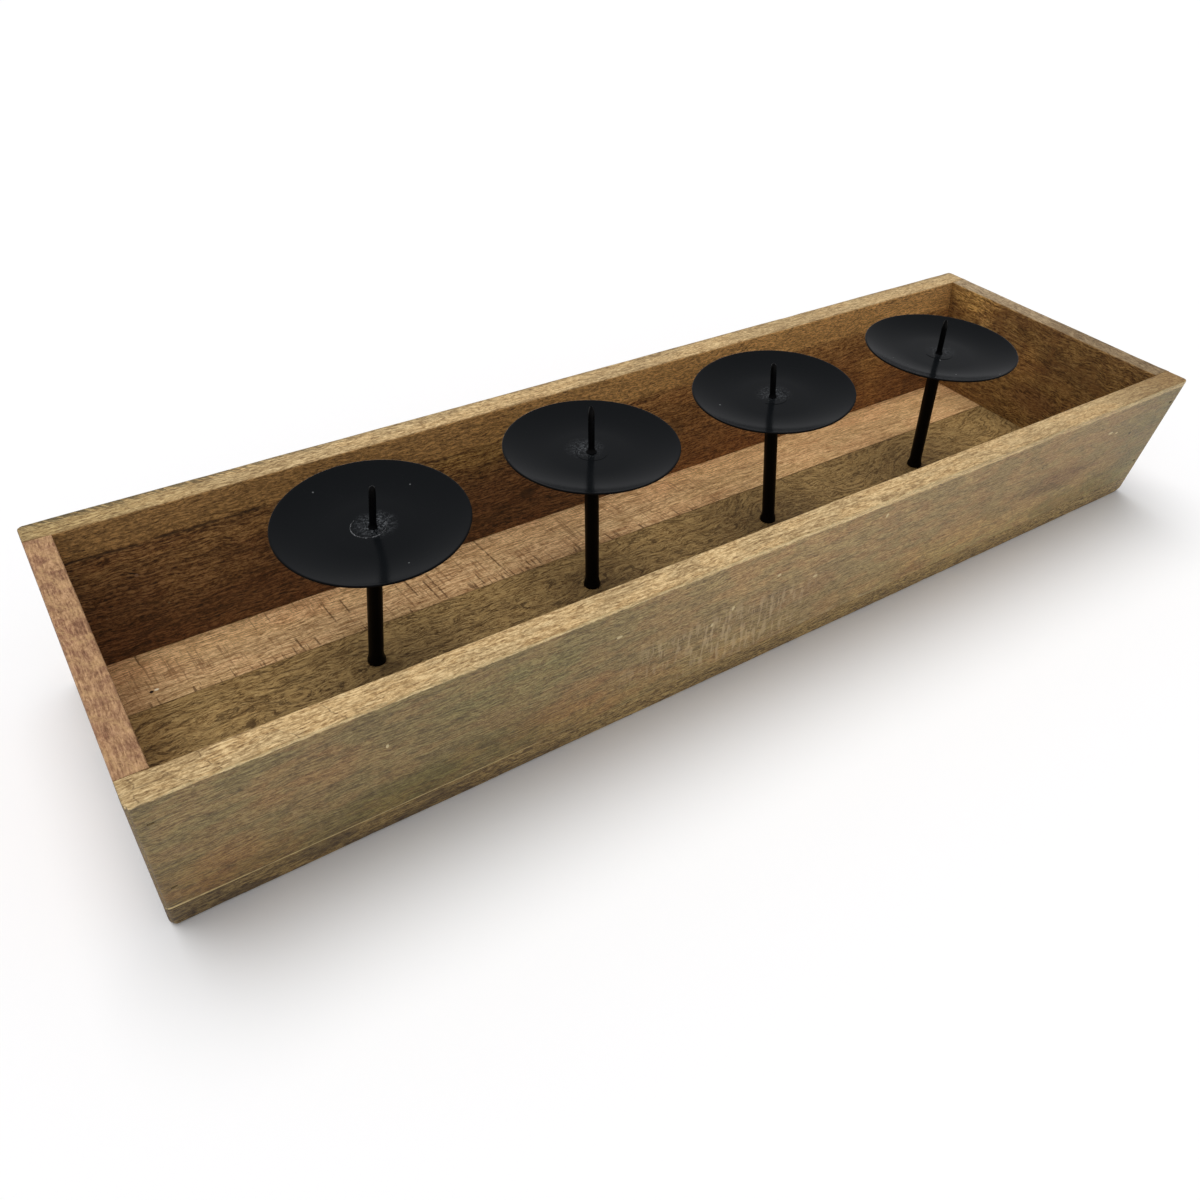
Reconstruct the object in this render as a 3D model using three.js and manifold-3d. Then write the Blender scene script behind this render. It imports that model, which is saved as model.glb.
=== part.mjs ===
// A wooden candle tray: a long trough with leaning sides and four black candle holders in a row.
// Millimetres, +Z up. The origin is on the surface the tray stands on, under the middle of the tray.
// +X runs along the tray to its right end and +Y runs across it to its back board.
import * as THREE from "three";
import { mergeVertices } from "three/addons/utils/BufferGeometryUtils.js";
import Module from "manifold-3d";

const wasm = await Module();
wasm.setup();

// Wooden tray
const trayLength = 600;
const rimWidth = 183; // outside, over the top edges of the two long boards
const baseWidth = 159; // outside, where the tray stands
const trayHeight = 84;
const baseThickness = 12.5;
const sideThickness = 13.5; // of a long board, measured level
const endThickness = 12;
const middleBoardWidth = 59; // the floor board that carries the holders
const glueLine = 0.1; // between two boards
const cornerRadius = 2.5; // upright outer corners
const rimEase = 1; // sanded top edges
const footEase = 1.5; // sanded bottom edges of the floor
const leftFootCornerRadius = 3; // bottom corners of the tray, seen from the front
const rightFootCornerRadius = 7; // worn down further

// Brads, which hold the boards together beside the glue
const bradLength = 30;
const bradWidth = 1.3;
const bradThickness = 1.1;
const bradHeadWidth = 2.3;
const bradHeadThickness = 0.9;
const bradPointLength = 2;
const bradSet = 0.6; // how deep the head is driven under the surface
const bradClearance = 0.3;
const cornerBradInset = 14; // from the top and the bottom edge of a long board
const endBradInset = 10; // from the seam of the floor, in the outer floor boards
const sideBradCount = 4; // through the floor into one long board
const sideBradInset = 75; // of the first and the last of them, from the tray's ends

// Row of candle holders
const holderPitch = 121.5;
const rowShiftAlong = 6.5; // the row stands a little to the right of the middle
const rowShiftAcross = 1.5; // and a little to the back
// How each holder of this tray stands, from left to right, and the shape of its spike. Offsets and
// lengths are in millimetres and leans in degrees: along is towards +X and across is towards +Y.
const stances = [
  {
    across: 4.3,
    stemLean: { along: 4.2, across: -2.2 },
    plateLean: { along: -2.8, across: -2.9 },
    spike: { height: 20.7, footDiameter: 4.2, tipRadius: 0.9 },
  },
  {
    across: 0,
    stemLean: { along: 0.3, across: 4.2 },
    plateLean: { along: -0.5, across: 0.2 },
    spike: { height: 24, footDiameter: 5.4, tipRadius: 0.45 },
  },
  {
    across: -1.8,
    stemLean: { along: -4.3, across: 4.5 },
    plateLean: { along: -4.1, across: 0.4 },
    spike: { height: 19, footDiameter: 4.2, tipRadius: 0.9 },
  },
  {
    across: -3.2,
    stemLean: { along: -5, across: -1 },
    plateLean: { along: -0.2, across: 0 },
    spike: { height: 21, footDiameter: 4.2, tipRadius: 0.5 },
  },
];

// Stem
const stemLength = 77.4; // from the floor to the underside of the plate
const stemDiameter = 7.3;
const footDiameter = 9;
const footHeight = 6; // the flare at the foot of the stem
const footBand = 1.4; // upright edge of the foot

// Candle plate, a shallow dish of sheet steel
const plateDiameter = 87;
const plateThickness = 1;
const plateFlatDiameter = 38;
const plateRise = 4.8; // how far the rim stands above the flat middle
const plateRimRound = 0.3;
const weldGap = 0.5; // between the plate and the stem below it or the spike above it
const weldBeadDiameter = 17; // outside; the bead is a low ring on the plate round the spike
const weldBeadWidth = 1.4;
const weldBeadHeight = 0.4;

// Spike
const spikeDiameter = 3.2;
const spikePointLength = 6;
const spikeFootHeight = 2.5;
const spikeFootEdge = 0.3; // upright edge of the foot
const tangDiameter = 2.6; // the end that goes through the plate into the stem
const tangLength = 8; // inside the stem
const fitClearance = 0.3; // all round a piece in its hole
const boreRelief = 1.5; // free length past the end of a piece in its bore

// Screw and washer under the floor
const screwDiameter = 4;
const screwReach = 7; // inside the stem
const screwHeadDiameter = 7.6;
const screwHeadHeight = 2.2;
const screwHeadRound = 0.7;
const crossSlotLength = 4.4;
const crossSlotWidth = 0.9;
const crossSlotDepth = 1.2;
const washerDiameter = 12;
const washerThickness = 1;
const counterboreDepth = 4.2;
const seatGap = 0.1; // between flat metal faces

// Fineness of round shapes
const plateSides = 48;
const stemSides = 20;
const spikeSides = 14;
const screwSides = 16;
const washerSides = 20;
const curveSteps = 4;
const easeSteps = 3;
const cutMargin = 5; // how far a cutting shape stands out of what it cuts
const mergeDistance = 1e-4;

const halfLength = trayLength / 2;
const sideFlare = (rimWidth - baseWidth) / 2 / trayHeight; // run across for each millimetre up
const boardBottom = baseThickness + glueLine; // the long and the end boards stand on the floor
const unitX = new THREE.Vector3(1, 0, 0);
const unitY = new THREE.Vector3(0, 1, 0);
const unitZ = new THREE.Vector3(0, 0, 1);

// Half the tray's width at a height, over the outer and between the inner faces of the long boards
function outerHalfAt(height) {
  return baseWidth / 2 + sideFlare * height;
}

function innerHalfAt(height) {
  return outerHalfAt(height) - sideThickness;
}

// A three.js geometry as a solid that can be joined and cut
function solidOf(geometry) {
  const bare = geometry.clone();
  bare.deleteAttribute("normal");
  bare.deleteAttribute("uv");
  const merged = mergeVertices(bare, mergeDistance);
  return new wasm.Manifold(
    new wasm.Mesh({
      numProp: 3,
      vertProperties: merged.attributes.position.array,
      triVerts: new Uint32Array(merged.index.array),
    }),
  );
}

function geometryOf(solid) {
  const mesh = solid.getMesh();
  const geometry = new THREE.BufferGeometry();
  geometry.setAttribute("position", new THREE.BufferAttribute(mesh.vertProperties, mesh.numProp));
  geometry.setIndex(new THREE.BufferAttribute(mesh.triVerts, 1));
  geometry.computeVertexNormals();
  return geometry;
}

// An outline through corners that are given as [x, y] or, with an eased corner, [x, y, ease]
function easedOutline(corners) {
  const shape = new THREE.Shape();
  corners.forEach(([x, y, ease = 0], index) => {
    const corner = new THREE.Vector2(x, y);
    const [previousX, previousY] = corners.at(index - 1);
    const [nextX, nextY] = corners[(index + 1) % corners.length];
    const back = new THREE.Vector2(previousX, previousY).sub(corner).setLength(ease);
    const ahead = new THREE.Vector2(nextX, nextY).sub(corner).setLength(ease);
    if (index === 0) shape.moveTo(x + back.x, y + back.y);
    else shape.lineTo(x + back.x, y + back.y);
    if (ease > 0) shape.quadraticCurveTo(x, y, x + ahead.x, y + ahead.y);
  });
  shape.closePath();
  return shape;
}

// Extrusions: an outline in the plane across the given axis, from start to end along it
function extrude(shape, start, end) {
  const settings = { depth: end - start, bevelEnabled: false, curveSegments: easeSteps };
  return new THREE.ExtrudeGeometry(shape, settings).translate(0, 0, start);
}

function extrudeAlongX(shape, start, end) {
  const turn = new THREE.Matrix4().makeBasis(unitY, unitZ, unitX);
  return extrude(shape, start, end).applyMatrix4(turn);
}

function extrudeAlongY(shape, start, end) {
  const turn = new THREE.Matrix4().makeBasis(unitX, unitZ, unitY.clone().negate());
  return extrude(shape, -end, -start).applyMatrix4(turn);
}

// A turned shape: [radius, height] points, from the axis round to the axis, or a closed ring
function turned(profile, sides) {
  const points = profile.map(([radius, height]) => new THREE.Vector2(radius, height));
  return new THREE.LatheGeometry(points, sides).rotateX(Math.PI / 2);
}

// Points of a rounding between two [radius, height] points, bent towards a corner
function rounding(from, corner, to) {
  const curve = new THREE.QuadraticBezierCurve(
    new THREE.Vector2(...from),
    new THREE.Vector2(...corner),
    new THREE.Vector2(...to),
  );
  return curve.getPoints(curveSteps).map((point) => [point.x, point.y]);
}

// The direction of +Z after a lean, and the turn that brings it there
function leanDirection(lean) {
  const along = Math.tan(THREE.MathUtils.degToRad(lean.along));
  const across = Math.tan(THREE.MathUtils.degToRad(lean.across));
  return new THREE.Vector3(along, across, 1).normalize();
}

function leanTurn(lean) {
  return new THREE.Quaternion().setFromUnitVectors(unitZ, leanDirection(lean));
}

// The waste outside a rounded corner at [x, y]; the signs say which way the corner points
function cornerWasteOutline(x, y, signX, signY, radius) {
  const shape = new THREE.Shape();
  shape.moveTo(x - signX * radius, y + signY * cutMargin);
  for (let step = 0; step <= easeSteps + 1; step++) {
    const angle = (Math.PI / 2) * (1 - step / (easeSteps + 1));
    const inwards = radius * (Math.cos(angle) - 1);
    const downwards = radius * (Math.sin(angle) - 1);
    shape.lineTo(x + signX * inwards, y + signY * downwards);
  }
  shape.lineTo(x + signX * cutMargin, y - signY * radius);
  shape.lineTo(x + signX * cutMargin, y + signY * cutMargin);
  shape.closePath();
  return shape;
}

// Waste of one upright corner, which leans with the long board
function uprightCornerWaste(end, side) {
  const outline = cornerWasteOutline(end * halfLength, (side * baseWidth) / 2, end, side, cornerRadius);
  const lean = new THREE.Matrix4().set(1, 0, 0, 0, 0, 1, side * sideFlare, 0, 0, 0, 1, 0, 0, 0, 0, 1);
  return solidOf(extrude(outline, -cutMargin, trayHeight + cutMargin).applyMatrix4(lean));
}

function footCornerWaste(end) {
  const radius = end < 0 ? leftFootCornerRadius : rightFootCornerRadius;
  const outline = cornerWasteOutline(end * halfLength, 0, end, -1, radius);
  return solidOf(extrudeAlongY(outline, -rimWidth, rimWidth));
}

// One brad in its own frame: the head's top at the origin, its point down and its wide side along X.
// With a clearance it is the hole that the brad sits in, which opens above the head.
function bradGeometry(clearance, rise) {
  const headHalf = bradHeadWidth / 2 + clearance;
  const shankHalf = bradWidth / 2 + clearance;
  const headUnder = -bradHeadThickness - clearance;
  const tip = -bradLength - clearance;
  const outline = easedOutline([
    [-headHalf, rise],
    [-headHalf, headUnder],
    [-shankHalf, headUnder],
    [-shankHalf, tip + bradPointLength],
    [0, tip],
    [shankHalf, tip + bradPointLength],
    [shankHalf, headUnder],
    [headHalf, headUnder],
    [headHalf, rise],
  ]);
  const half = bradThickness / 2 + clearance;
  return extrudeAlongY(outline, -half, half);
}

// Where a brad goes: the point on the wood where it is driven in, and the way its head looks
function bradPlace(name, point, outwards) {
  const outward = outwards.clone().normalize();
  const sideways = outward.clone().cross(unitX);
  const matrix = new THREE.Matrix4().makeBasis(unitX, sideways, outward);
  matrix.setPosition(point.clone().addScaledVector(outward, -bradSet));
  return { name, matrix };
}

function cornerBradPlaces() {
  const places = [];
  const levels = { lower: boardBottom + cornerBradInset, upper: trayHeight - cornerBradInset };
  for (const [sideName, side] of [["front", -1], ["back", 1]]) {
    for (const [endName, end] of [["left", -1], ["right", 1]]) {
      for (const [levelName, height] of Object.entries(levels)) {
        const x = end * (halfLength - endThickness / 2);
        const point = new THREE.Vector3(x, side * outerHalfAt(height), height);
        const outwards = new THREE.Vector3(0, side, -sideFlare);
        places.push(bradPlace(`brad_${sideName}_${endName}_${levelName}`, point, outwards));
      }
    }
  }
  return places;
}

function floorBradPlaces() {
  const places = [];
  const down = unitZ.clone().negate();
  const pitch = (trayLength - 2 * sideBradInset) / (sideBradCount - 1);
  for (const [sideName, side] of [["front", -1], ["back", 1]]) {
    const y = side * (outerHalfAt(baseThickness) - sideThickness / 2);
    for (let index = 0; index < sideBradCount; index++) {
      const x = -halfLength + sideBradInset + index * pitch;
      places.push(bradPlace(`brad_floor_${sideName}_${index + 1}`, new THREE.Vector3(x, y, 0), down));
    }
  }
  const acrossEnd = { front: -1, middle: 0, back: 1 };
  for (const [endName, end] of [["left", -1], ["right", 1]]) {
    for (const [boardName, side] of Object.entries(acrossEnd)) {
      const y = side * (middleBoardWidth / 2 + endBradInset);
      const point = new THREE.Vector3(end * (halfLength - endThickness / 2), y, 0);
      places.push(bradPlace(`brad_floor_${endName}_${boardName}`, point, down));
    }
  }
  return places;
}

// The middle of a holder's foot on the floor
function footPlace(index) {
  const x = rowShiftAlong + (index - (stances.length - 1) / 2) * holderPitch;
  return new THREE.Vector3(x, rowShiftAcross + stances[index].across, baseThickness);
}

// The stepped hole through the floor for one holder's screw and washer
function screwHole(index) {
  const boreRadius = screwDiameter / 2 + fitClearance;
  const counterboreRadius = washerDiameter / 2 + fitClearance;
  const profile = [
    [0, -cutMargin],
    [counterboreRadius, -cutMargin],
    [counterboreRadius, counterboreDepth],
    [boreRadius, counterboreDepth],
    [boreRadius, baseThickness + cutMargin],
    [0, baseThickness + cutMargin],
  ];
  const place = footPlace(index);
  return solidOf(turned(profile, washerSides).translate(place.x, place.y, 0));
}

const bradPlaces = [...cornerBradPlaces(), ...floorBradPlaces()];

// Everything that is driven or drilled into the wood
const bradHoles = bradPlaces.map((place) =>
  solidOf(bradGeometry(bradClearance, bradSet + cutMargin).applyMatrix4(place.matrix)),
);
const screwHoles = stances.map((stance, index) => screwHole(index));

function cutWith(board, wastes) {
  return wastes.reduce((rest, waste) => rest.subtract(waste), board);
}

// A long board leans outwards; its top and bottom edges are level
function longBoard(side) {
  const outline = easedOutline([
    [side * outerHalfAt(boardBottom), boardBottom],
    [side * outerHalfAt(trayHeight), trayHeight, rimEase],
    [side * innerHalfAt(trayHeight), trayHeight, rimEase],
    [side * innerHalfAt(boardBottom), boardBottom],
  ]);
  const blank = solidOf(extrudeAlongX(outline, -halfLength, halfLength));
  const corners = [-1, 1].map((end) => uprightCornerWaste(end, side));
  return cutWith(blank, [...corners, ...bradHoles]);
}

// An end board stands upright between the long boards, so its two sides are cut to their lean
function endBoard(end) {
  const outer = end * halfLength;
  const inner = end * (halfLength - endThickness);
  const section = easedOutline([
    [outer, boardBottom],
    [outer, trayHeight, rimEase],
    [inner, trayHeight, rimEase],
    [inner, boardBottom],
  ]);
  const top = trayHeight + cutMargin;
  const low = boardBottom - cutMargin;
  const between = easedOutline([
    [-innerHalfAt(low) + glueLine, low],
    [innerHalfAt(low) - glueLine, low],
    [innerHalfAt(top) - glueLine, top],
    [-innerHalfAt(top) + glueLine, top],
  ]);
  const blank = solidOf(extrudeAlongY(section, -rimWidth, rimWidth));
  const fitted = blank.intersect(solidOf(extrudeAlongX(between, -trayLength, trayLength)));
  return cutWith(fitted, bradHoles);
}

// The floor is three boards side by side: the outer two end flush with the long boards above them
function outerFloorBoard(side) {
  const seam = side * (middleBoardWidth / 2 + glueLine / 2);
  const outline = easedOutline([
    [seam, 0],
    [side * outerHalfAt(0), 0, footEase],
    [side * outerHalfAt(baseThickness), baseThickness],
    [seam, baseThickness],
  ]);
  const blank = solidOf(extrudeAlongX(outline, -halfLength, halfLength));
  const corners = [-1, 1].map((end) => uprightCornerWaste(end, side));
  const feet = [-1, 1].map((end) => footCornerWaste(end));
  return cutWith(blank, [...corners, ...feet, ...bradHoles]);
}

function middleFloorBoard() {
  const half = middleBoardWidth / 2 - glueLine / 2;
  const outline = easedOutline([[-half, 0], [half, 0], [half, baseThickness], [-half, baseThickness]]);
  const blank = solidOf(extrudeAlongX(outline, -halfLength, halfLength));
  const feet = [-1, 1].map((end) => footCornerWaste(end));
  return cutWith(blank, [...feet, ...bradHoles, ...screwHoles]);
}

// The stem stands square on its flared foot, and its shaft leans from there.
// A threaded bore takes the screw from below and a plain one takes the spike's tang from above.
function stemGeometry(stance) {
  const footRadius = footDiameter / 2;
  const shaftRadius = stemDiameter / 2;
  const flareMiddle = (footBand + footHeight) / 2;
  const foot = solidOf(
    turned(
      [
        [0, 0],
        [footRadius, 0],
        ...rounding([footRadius, footBand], [shaftRadius, flareMiddle], [shaftRadius, footHeight]),
        [0, footHeight],
      ],
      stemSides,
    ),
  );
  const bendHeight = footHeight / 2;
  const shaftLength = stemLength - bendHeight;
  const screwBoreRadius = screwDiameter / 2 + fitClearance;
  const tangBoreRadius = tangDiameter / 2 + fitClearance;
  const tangBoreEnd = shaftLength - tangLength - boreRelief;
  const leanShaft = (geometry) => {
    return solidOf(geometry.applyQuaternion(leanTurn(stance.stemLean)).translate(0, 0, bendHeight));
  };
  const shaft = leanShaft(
    turned(
      [
        [0, 0],
        [shaftRadius, 0],
        [shaftRadius, shaftLength],
        [0, shaftLength],
      ],
      stemSides,
    ),
  );
  const tangBore = leanShaft(
    turned(
      [
        [0, tangBoreEnd],
        [tangBoreRadius, tangBoreEnd],
        [tangBoreRadius, shaftLength + cutMargin],
        [0, shaftLength + cutMargin],
      ],
      spikeSides,
    ),
  );
  const screwBore = solidOf(
    turned(
      [
        [0, -cutMargin],
        [screwBoreRadius, -cutMargin],
        [screwBoreRadius, screwReach + boreRelief],
        [0, screwReach + boreRelief],
      ],
      screwSides,
    ),
  );
  return geometryOf(foot.add(shaft).subtract(tangBore).subtract(screwBore));
}

// The middle of the stem's top end, measured from the middle of its foot
function stemTop(stance) {
  const bendHeight = footHeight / 2;
  return leanDirection(stance.stemLean)
    .multiplyScalar(stemLength - bendHeight)
    .add(new THREE.Vector3(0, 0, bendHeight));
}

// The plate's own origin is in the middle of its flat underside. The weld bead stands on its top.
function plateGeometry() {
  const holeRadius = tangDiameter / 2 + fitClearance;
  const rimRadius = plateDiameter / 2;
  const flatRadius = plateFlatDiameter / 2;
  const bend = (flatRadius + rimRadius) / 2; // where the straight middle and the rim's slope would meet
  const brim = rimRadius - plateRimRound;
  const rimTop = plateRise + plateThickness;
  const dish = (level) => rounding([flatRadius, level], [bend, level], [brim, plateRise + level]);
  const beadRadius = weldBeadDiameter / 2;
  return turned(
    [
      [holeRadius, 0],
      ...dish(0),
      [rimRadius, plateRise + plateRimRound],
      [rimRadius, rimTop - plateRimRound],
      ...dish(plateThickness).reverse(),
      [beadRadius, plateThickness],
      [beadRadius - weldBeadWidth / 2, plateThickness + weldBeadHeight],
      [beadRadius - weldBeadWidth, plateThickness],
      [holeRadius, plateThickness],
      [holeRadius, 0],
    ],
    plateSides,
  );
}

// The spike's own origin is in the middle of its seat on the plate
function spikeGeometry({ height, footDiameter, tipRadius }) {
  const radius = spikeDiameter / 2;
  const footRadius = footDiameter / 2;
  const tangEnd = -(plateThickness + 2 * weldGap + tangLength);
  return turned(
    [
      [0, tangEnd],
      [tangDiameter / 2, tangEnd],
      [tangDiameter / 2, 0],
      [footRadius, 0],
      ...rounding([footRadius, spikeFootEdge], [radius, spikeFootHeight / 3], [radius, spikeFootHeight]),
      [radius, height - spikePointLength],
      [tipRadius, height - tipRadius / 2],
      [0, height],
    ],
    spikeSides,
  );
}

// The washer's and the screw's own origin is in the middle of the face that the washer is pressed to
function washerGeometry() {
  const holeRadius = screwDiameter / 2 + fitClearance;
  const outerRadius = washerDiameter / 2;
  return turned(
    [
      [holeRadius, -seatGap - washerThickness],
      [outerRadius, -seatGap - washerThickness],
      [outerRadius, -seatGap],
      [holeRadius, -seatGap],
      [holeRadius, -seatGap - washerThickness],
    ],
    washerSides,
  );
}

function screwGeometry() {
  const headTop = -2 * seatGap - washerThickness;
  const headBottom = headTop - screwHeadHeight;
  const headRadius = screwHeadDiameter / 2;
  const tip = baseThickness - counterboreDepth + screwReach;
  const blank = solidOf(
    turned(
      [
        [0, headBottom],
        ...rounding(
          [headRadius - screwHeadRound, headBottom],
          [headRadius, headBottom],
          [headRadius, headBottom + screwHeadRound],
        ),
        [headRadius, headTop],
        [screwDiameter / 2, headTop],
        [screwDiameter / 2, tip],
        [0, tip],
      ],
      screwSides,
    ),
  );
  const slot = new THREE.BoxGeometry(crossSlotLength, crossSlotWidth, 2 * crossSlotDepth);
  const slots = [0, Math.PI / 2].map((angle) =>
    solidOf(slot.clone().rotateZ(angle).translate(0, 0, headBottom)),
  );
  return geometryOf(cutWith(blank, slots));
}

// Finishes, as the photographed tray shows them
const finishes = {
  oliveWood: { color: 0x7f6a4c, roughness: 0.72 },
  walnutWood: { color: 0x5a3c22, roughness: 0.7 },
  pinkWood: { color: 0xa67f5e, roughness: 0.75 },
  goldenWood: { color: 0x6e5030, roughness: 0.72 },
  paleFloor: { color: 0xa1805c, roughness: 0.78 },
  darkFloor: { color: 0x775b3a, roughness: 0.76 },
  blackPlate: { color: 0x1d1e20, roughness: 0.45, metalness: 0.3 },
  blackSteel: { color: 0x0b0b0c, roughness: 0.4, metalness: 0.3 },
  zincSteel: { color: 0x9c9d9a, roughness: 0.35, metalness: 0.9 },
  bradSteel: { color: 0x4d4a45, roughness: 0.5, metalness: 0.8 },
};

const materials = Object.fromEntries(
  Object.entries(finishes).map(([name, finish]) => [
    name,
    new THREE.MeshStandardMaterial({ name, metalness: 0, ...finish }),
  ]),
);

function namedMesh(name, geometry, finish) {
  const mesh = new THREE.Mesh(geometry, materials[finish].clone());
  mesh.name = name;
  return mesh;
}

function trayBoards() {
  const boards = new THREE.Group();
  boards.add(
    namedMesh("front_board", geometryOf(longBoard(-1)), "oliveWood"),
    namedMesh("back_board", geometryOf(longBoard(1)), "walnutWood"),
    namedMesh("left_end_board", geometryOf(endBoard(-1)), "pinkWood"),
    namedMesh("right_end_board", geometryOf(endBoard(1)), "goldenWood"),
    namedMesh("floor_board_front", geometryOf(outerFloorBoard(-1)), "darkFloor"),
    namedMesh("floor_board_middle", geometryOf(middleFloorBoard()), "darkFloor"),
    namedMesh("floor_board_back", geometryOf(outerFloorBoard(1)), "paleFloor"),
  );
  return boards;
}

function trayBrads() {
  const brads = new THREE.Group();
  for (const place of bradPlaces) {
    const brad = namedMesh(place.name, bradGeometry(0, 0), "bradSteel");
    brad.applyMatrix4(place.matrix);
    brads.add(brad);
  }
  return brads;
}

// One holder: its group stands on the floor, and its screw comes up from below
function candleHolder(index) {
  const stance = stances[index];
  const number = index + 1;
  const holder = new THREE.Group();
  holder.position.copy(footPlace(index));

  const stem = namedMesh(`stem_${number}`, stemGeometry(stance), "blackSteel");
  stem.position.z = seatGap;

  const top = stemTop(stance);
  const shaftDirection = leanDirection(stance.stemLean);
  const plate = namedMesh(`candle_plate_${number}`, plateGeometry(), "blackPlate");
  plate.position.copy(top).addScaledVector(shaftDirection, seatGap + weldGap);
  plate.quaternion.copy(leanTurn(stance.plateLean));

  const spike = namedMesh(`spike_${number}`, spikeGeometry(stance.spike), "blackSteel");
  const spikeSeat = seatGap + 2 * weldGap + plateThickness;
  spike.position.copy(top).addScaledVector(shaftDirection, spikeSeat);
  spike.quaternion.copy(leanTurn(stance.stemLean));

  const washer = namedMesh(`washer_${number}`, washerGeometry(), "zincSteel");
  const screw = namedMesh(`holder_screw_${number}`, screwGeometry(), "zincSteel");
  for (const piece of [washer, screw]) piece.position.z = counterboreDepth - baseThickness;

  holder.add(stem, plate, spike, washer, screw);
  return holder;
}

const candleTray = new THREE.Group();
candleTray.name = "candle_tray";
candleTray.add(trayBoards(), trayBrads());
stances.forEach((stance, index) => candleTray.add(candleHolder(index)));

export default candleTray;
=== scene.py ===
"""The looks of a wooden candle tray: waxed boards, black candle plates on stems, and their spikes.

All lengths are in metres, in the frame's own axes: +X along the tray to its right end, +Y across it
to its back board, +Z up from the surface that it stands on. The materials work in millimetres.
"""

import math

import bmesh
import bpy
import numpy as np
from mathutils import Matrix, Quaternion, Vector, noise


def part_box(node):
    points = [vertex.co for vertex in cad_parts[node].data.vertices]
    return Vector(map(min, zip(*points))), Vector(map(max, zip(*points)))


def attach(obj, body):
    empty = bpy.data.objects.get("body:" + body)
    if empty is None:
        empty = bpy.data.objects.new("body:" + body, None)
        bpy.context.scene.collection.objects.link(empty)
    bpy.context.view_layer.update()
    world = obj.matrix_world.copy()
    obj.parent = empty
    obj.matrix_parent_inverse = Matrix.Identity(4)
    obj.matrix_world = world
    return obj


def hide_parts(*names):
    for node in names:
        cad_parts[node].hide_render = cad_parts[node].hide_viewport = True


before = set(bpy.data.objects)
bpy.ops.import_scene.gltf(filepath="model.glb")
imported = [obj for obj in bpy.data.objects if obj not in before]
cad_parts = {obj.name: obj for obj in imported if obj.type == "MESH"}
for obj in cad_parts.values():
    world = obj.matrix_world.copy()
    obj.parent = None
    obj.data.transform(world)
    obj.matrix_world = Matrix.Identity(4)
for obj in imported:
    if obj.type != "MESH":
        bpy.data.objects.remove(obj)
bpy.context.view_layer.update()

MM = 0.001

# Tray, read from the frame where one box says it
TRAY_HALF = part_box("front_board")[1].x
RIM_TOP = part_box("front_board")[1].z
FLOOR_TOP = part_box("floor_board_middle")[1].z
MIDDLE_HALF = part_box("floor_board_middle")[1].y
WALL_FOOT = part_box("front_board")[0].z
RIM_HALF_WIDTH = 91.5 * MM  # to the outer faces of the long boards, at the rim
BASE_HALF_WIDTH = 79.5 * MM  # and where the tray stands
SIDE_THICKNESS = 13.5 * MM
END_THICKNESS = 12 * MM
GLUE_LINE = 0.1 * MM
SIDE_LEAN = (RIM_HALF_WIDTH - BASE_HALF_WIDTH) / RIM_TOP

# Edges of the boards
RIM_EASE = 1.0 * MM
ARRIS_EASE = 0.8 * MM
FOOT_EASE = 1.5 * MM
SEAM_EASE = 0.22 * MM
CORNER_RADIUS = 2.5 * MM
LEFT_FOOT_RADIUS = 3 * MM
RIGHT_FOOT_RADIUS = 7 * MM

# Metal
PLATE_RIM_RADIUS = 43.5 * MM
PLATE_FLAT_RADIUS = 19 * MM
PLATE_RISE = 4.8 * MM
PLATE_THICKNESS = 1.0 * MM
PLATE_HOLE_RADIUS = 1.6 * MM
STEM_RADIUS = 3.65 * MM
STEM_FOOT_RADIUS = 4.5 * MM
STEM_FOOT_BAND = 1.4 * MM
STEM_FOOT_HEIGHT = 6 * MM
SPIKE_RADIUS = 1.6 * MM
SPIKE_FOOT_BAND = 0.3 * MM
SPIKE_FOOT_HEIGHT = 2.5 * MM
SPIKE_POINT = 6 * MM
SPIKE_TANG = 10 * MM  # under the spike's seat
SPIKE_SINK = 0.5 * MM  # how far the spike's foot goes down into the plate
STEM_TOP_GAP = 0.2 * MM  # between a stem's top and its plate
BRAD_HEAD = (2.3 * MM, 1.1 * MM)
BRAD_SET = 0.6 * MM
BRAD_HEAD_DEPTH = 0.9 * MM
WASHER_RADIUS = 6 * MM
COUNTERBORE_DEPTH = 4.2 * MM


class Look:
    """What one piece has of its own. What its class says holds for all that don't say otherwise."""

    def __init__(self, **values):
        for name, value in values.items():
            setattr(self, name, value)


class HolderLook(Look):
    """A holder. Lengths are in millimetres and angles in degrees. The haze is the grey one that welding
    left on the plate; a middle is given along and across from the plate's middle."""

    bead_radius = 0.2
    bead_middle = (0.0, 0.0)
    bead_finish = "plate"  # painted over, as the plate is


HOLDERS = {
    1: HolderLook(
        haze=1.0, haze_middle=(1.6, 1.2), spike_foot=2.1, spike_tip=1.15, bead_start=118, bead_sweep=235,
        bead_radius=0.3, bead_middle=(-1.4, 1.3), bead_finish="weld",
    ),
    2: HolderLook(
        haze=0.7, haze_middle=(-0.9, 4.6), spike_foot=2.7, spike_tip=0.5, bead_start=120, bead_sweep=200,
    ),
    3: HolderLook(
        haze=0.6, haze_middle=(2.4, 2.3), spike_foot=2.1, spike_tip=1.15, bead_start=200, bead_sweep=170,
    ),
    4: HolderLook(
        haze=0.35, haze_middle=(3.0, 1.3), spike_foot=2.1, spike_tip=0.6, bead_start=160, bead_sweep=150,
    ),
}


def tone(red, green, blue):
    """A colour as it looks on a screen, in steps of 255, as the linear colour that shaders use."""
    channels = [value / 255 for value in (red, green, blue)]
    linear = [c / 12.92 if c <= 0.04045 else ((c + 0.055) / 1.055) ** 2.4 for c in channels]
    return (*linear, 1.0)


# Building node trees


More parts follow.
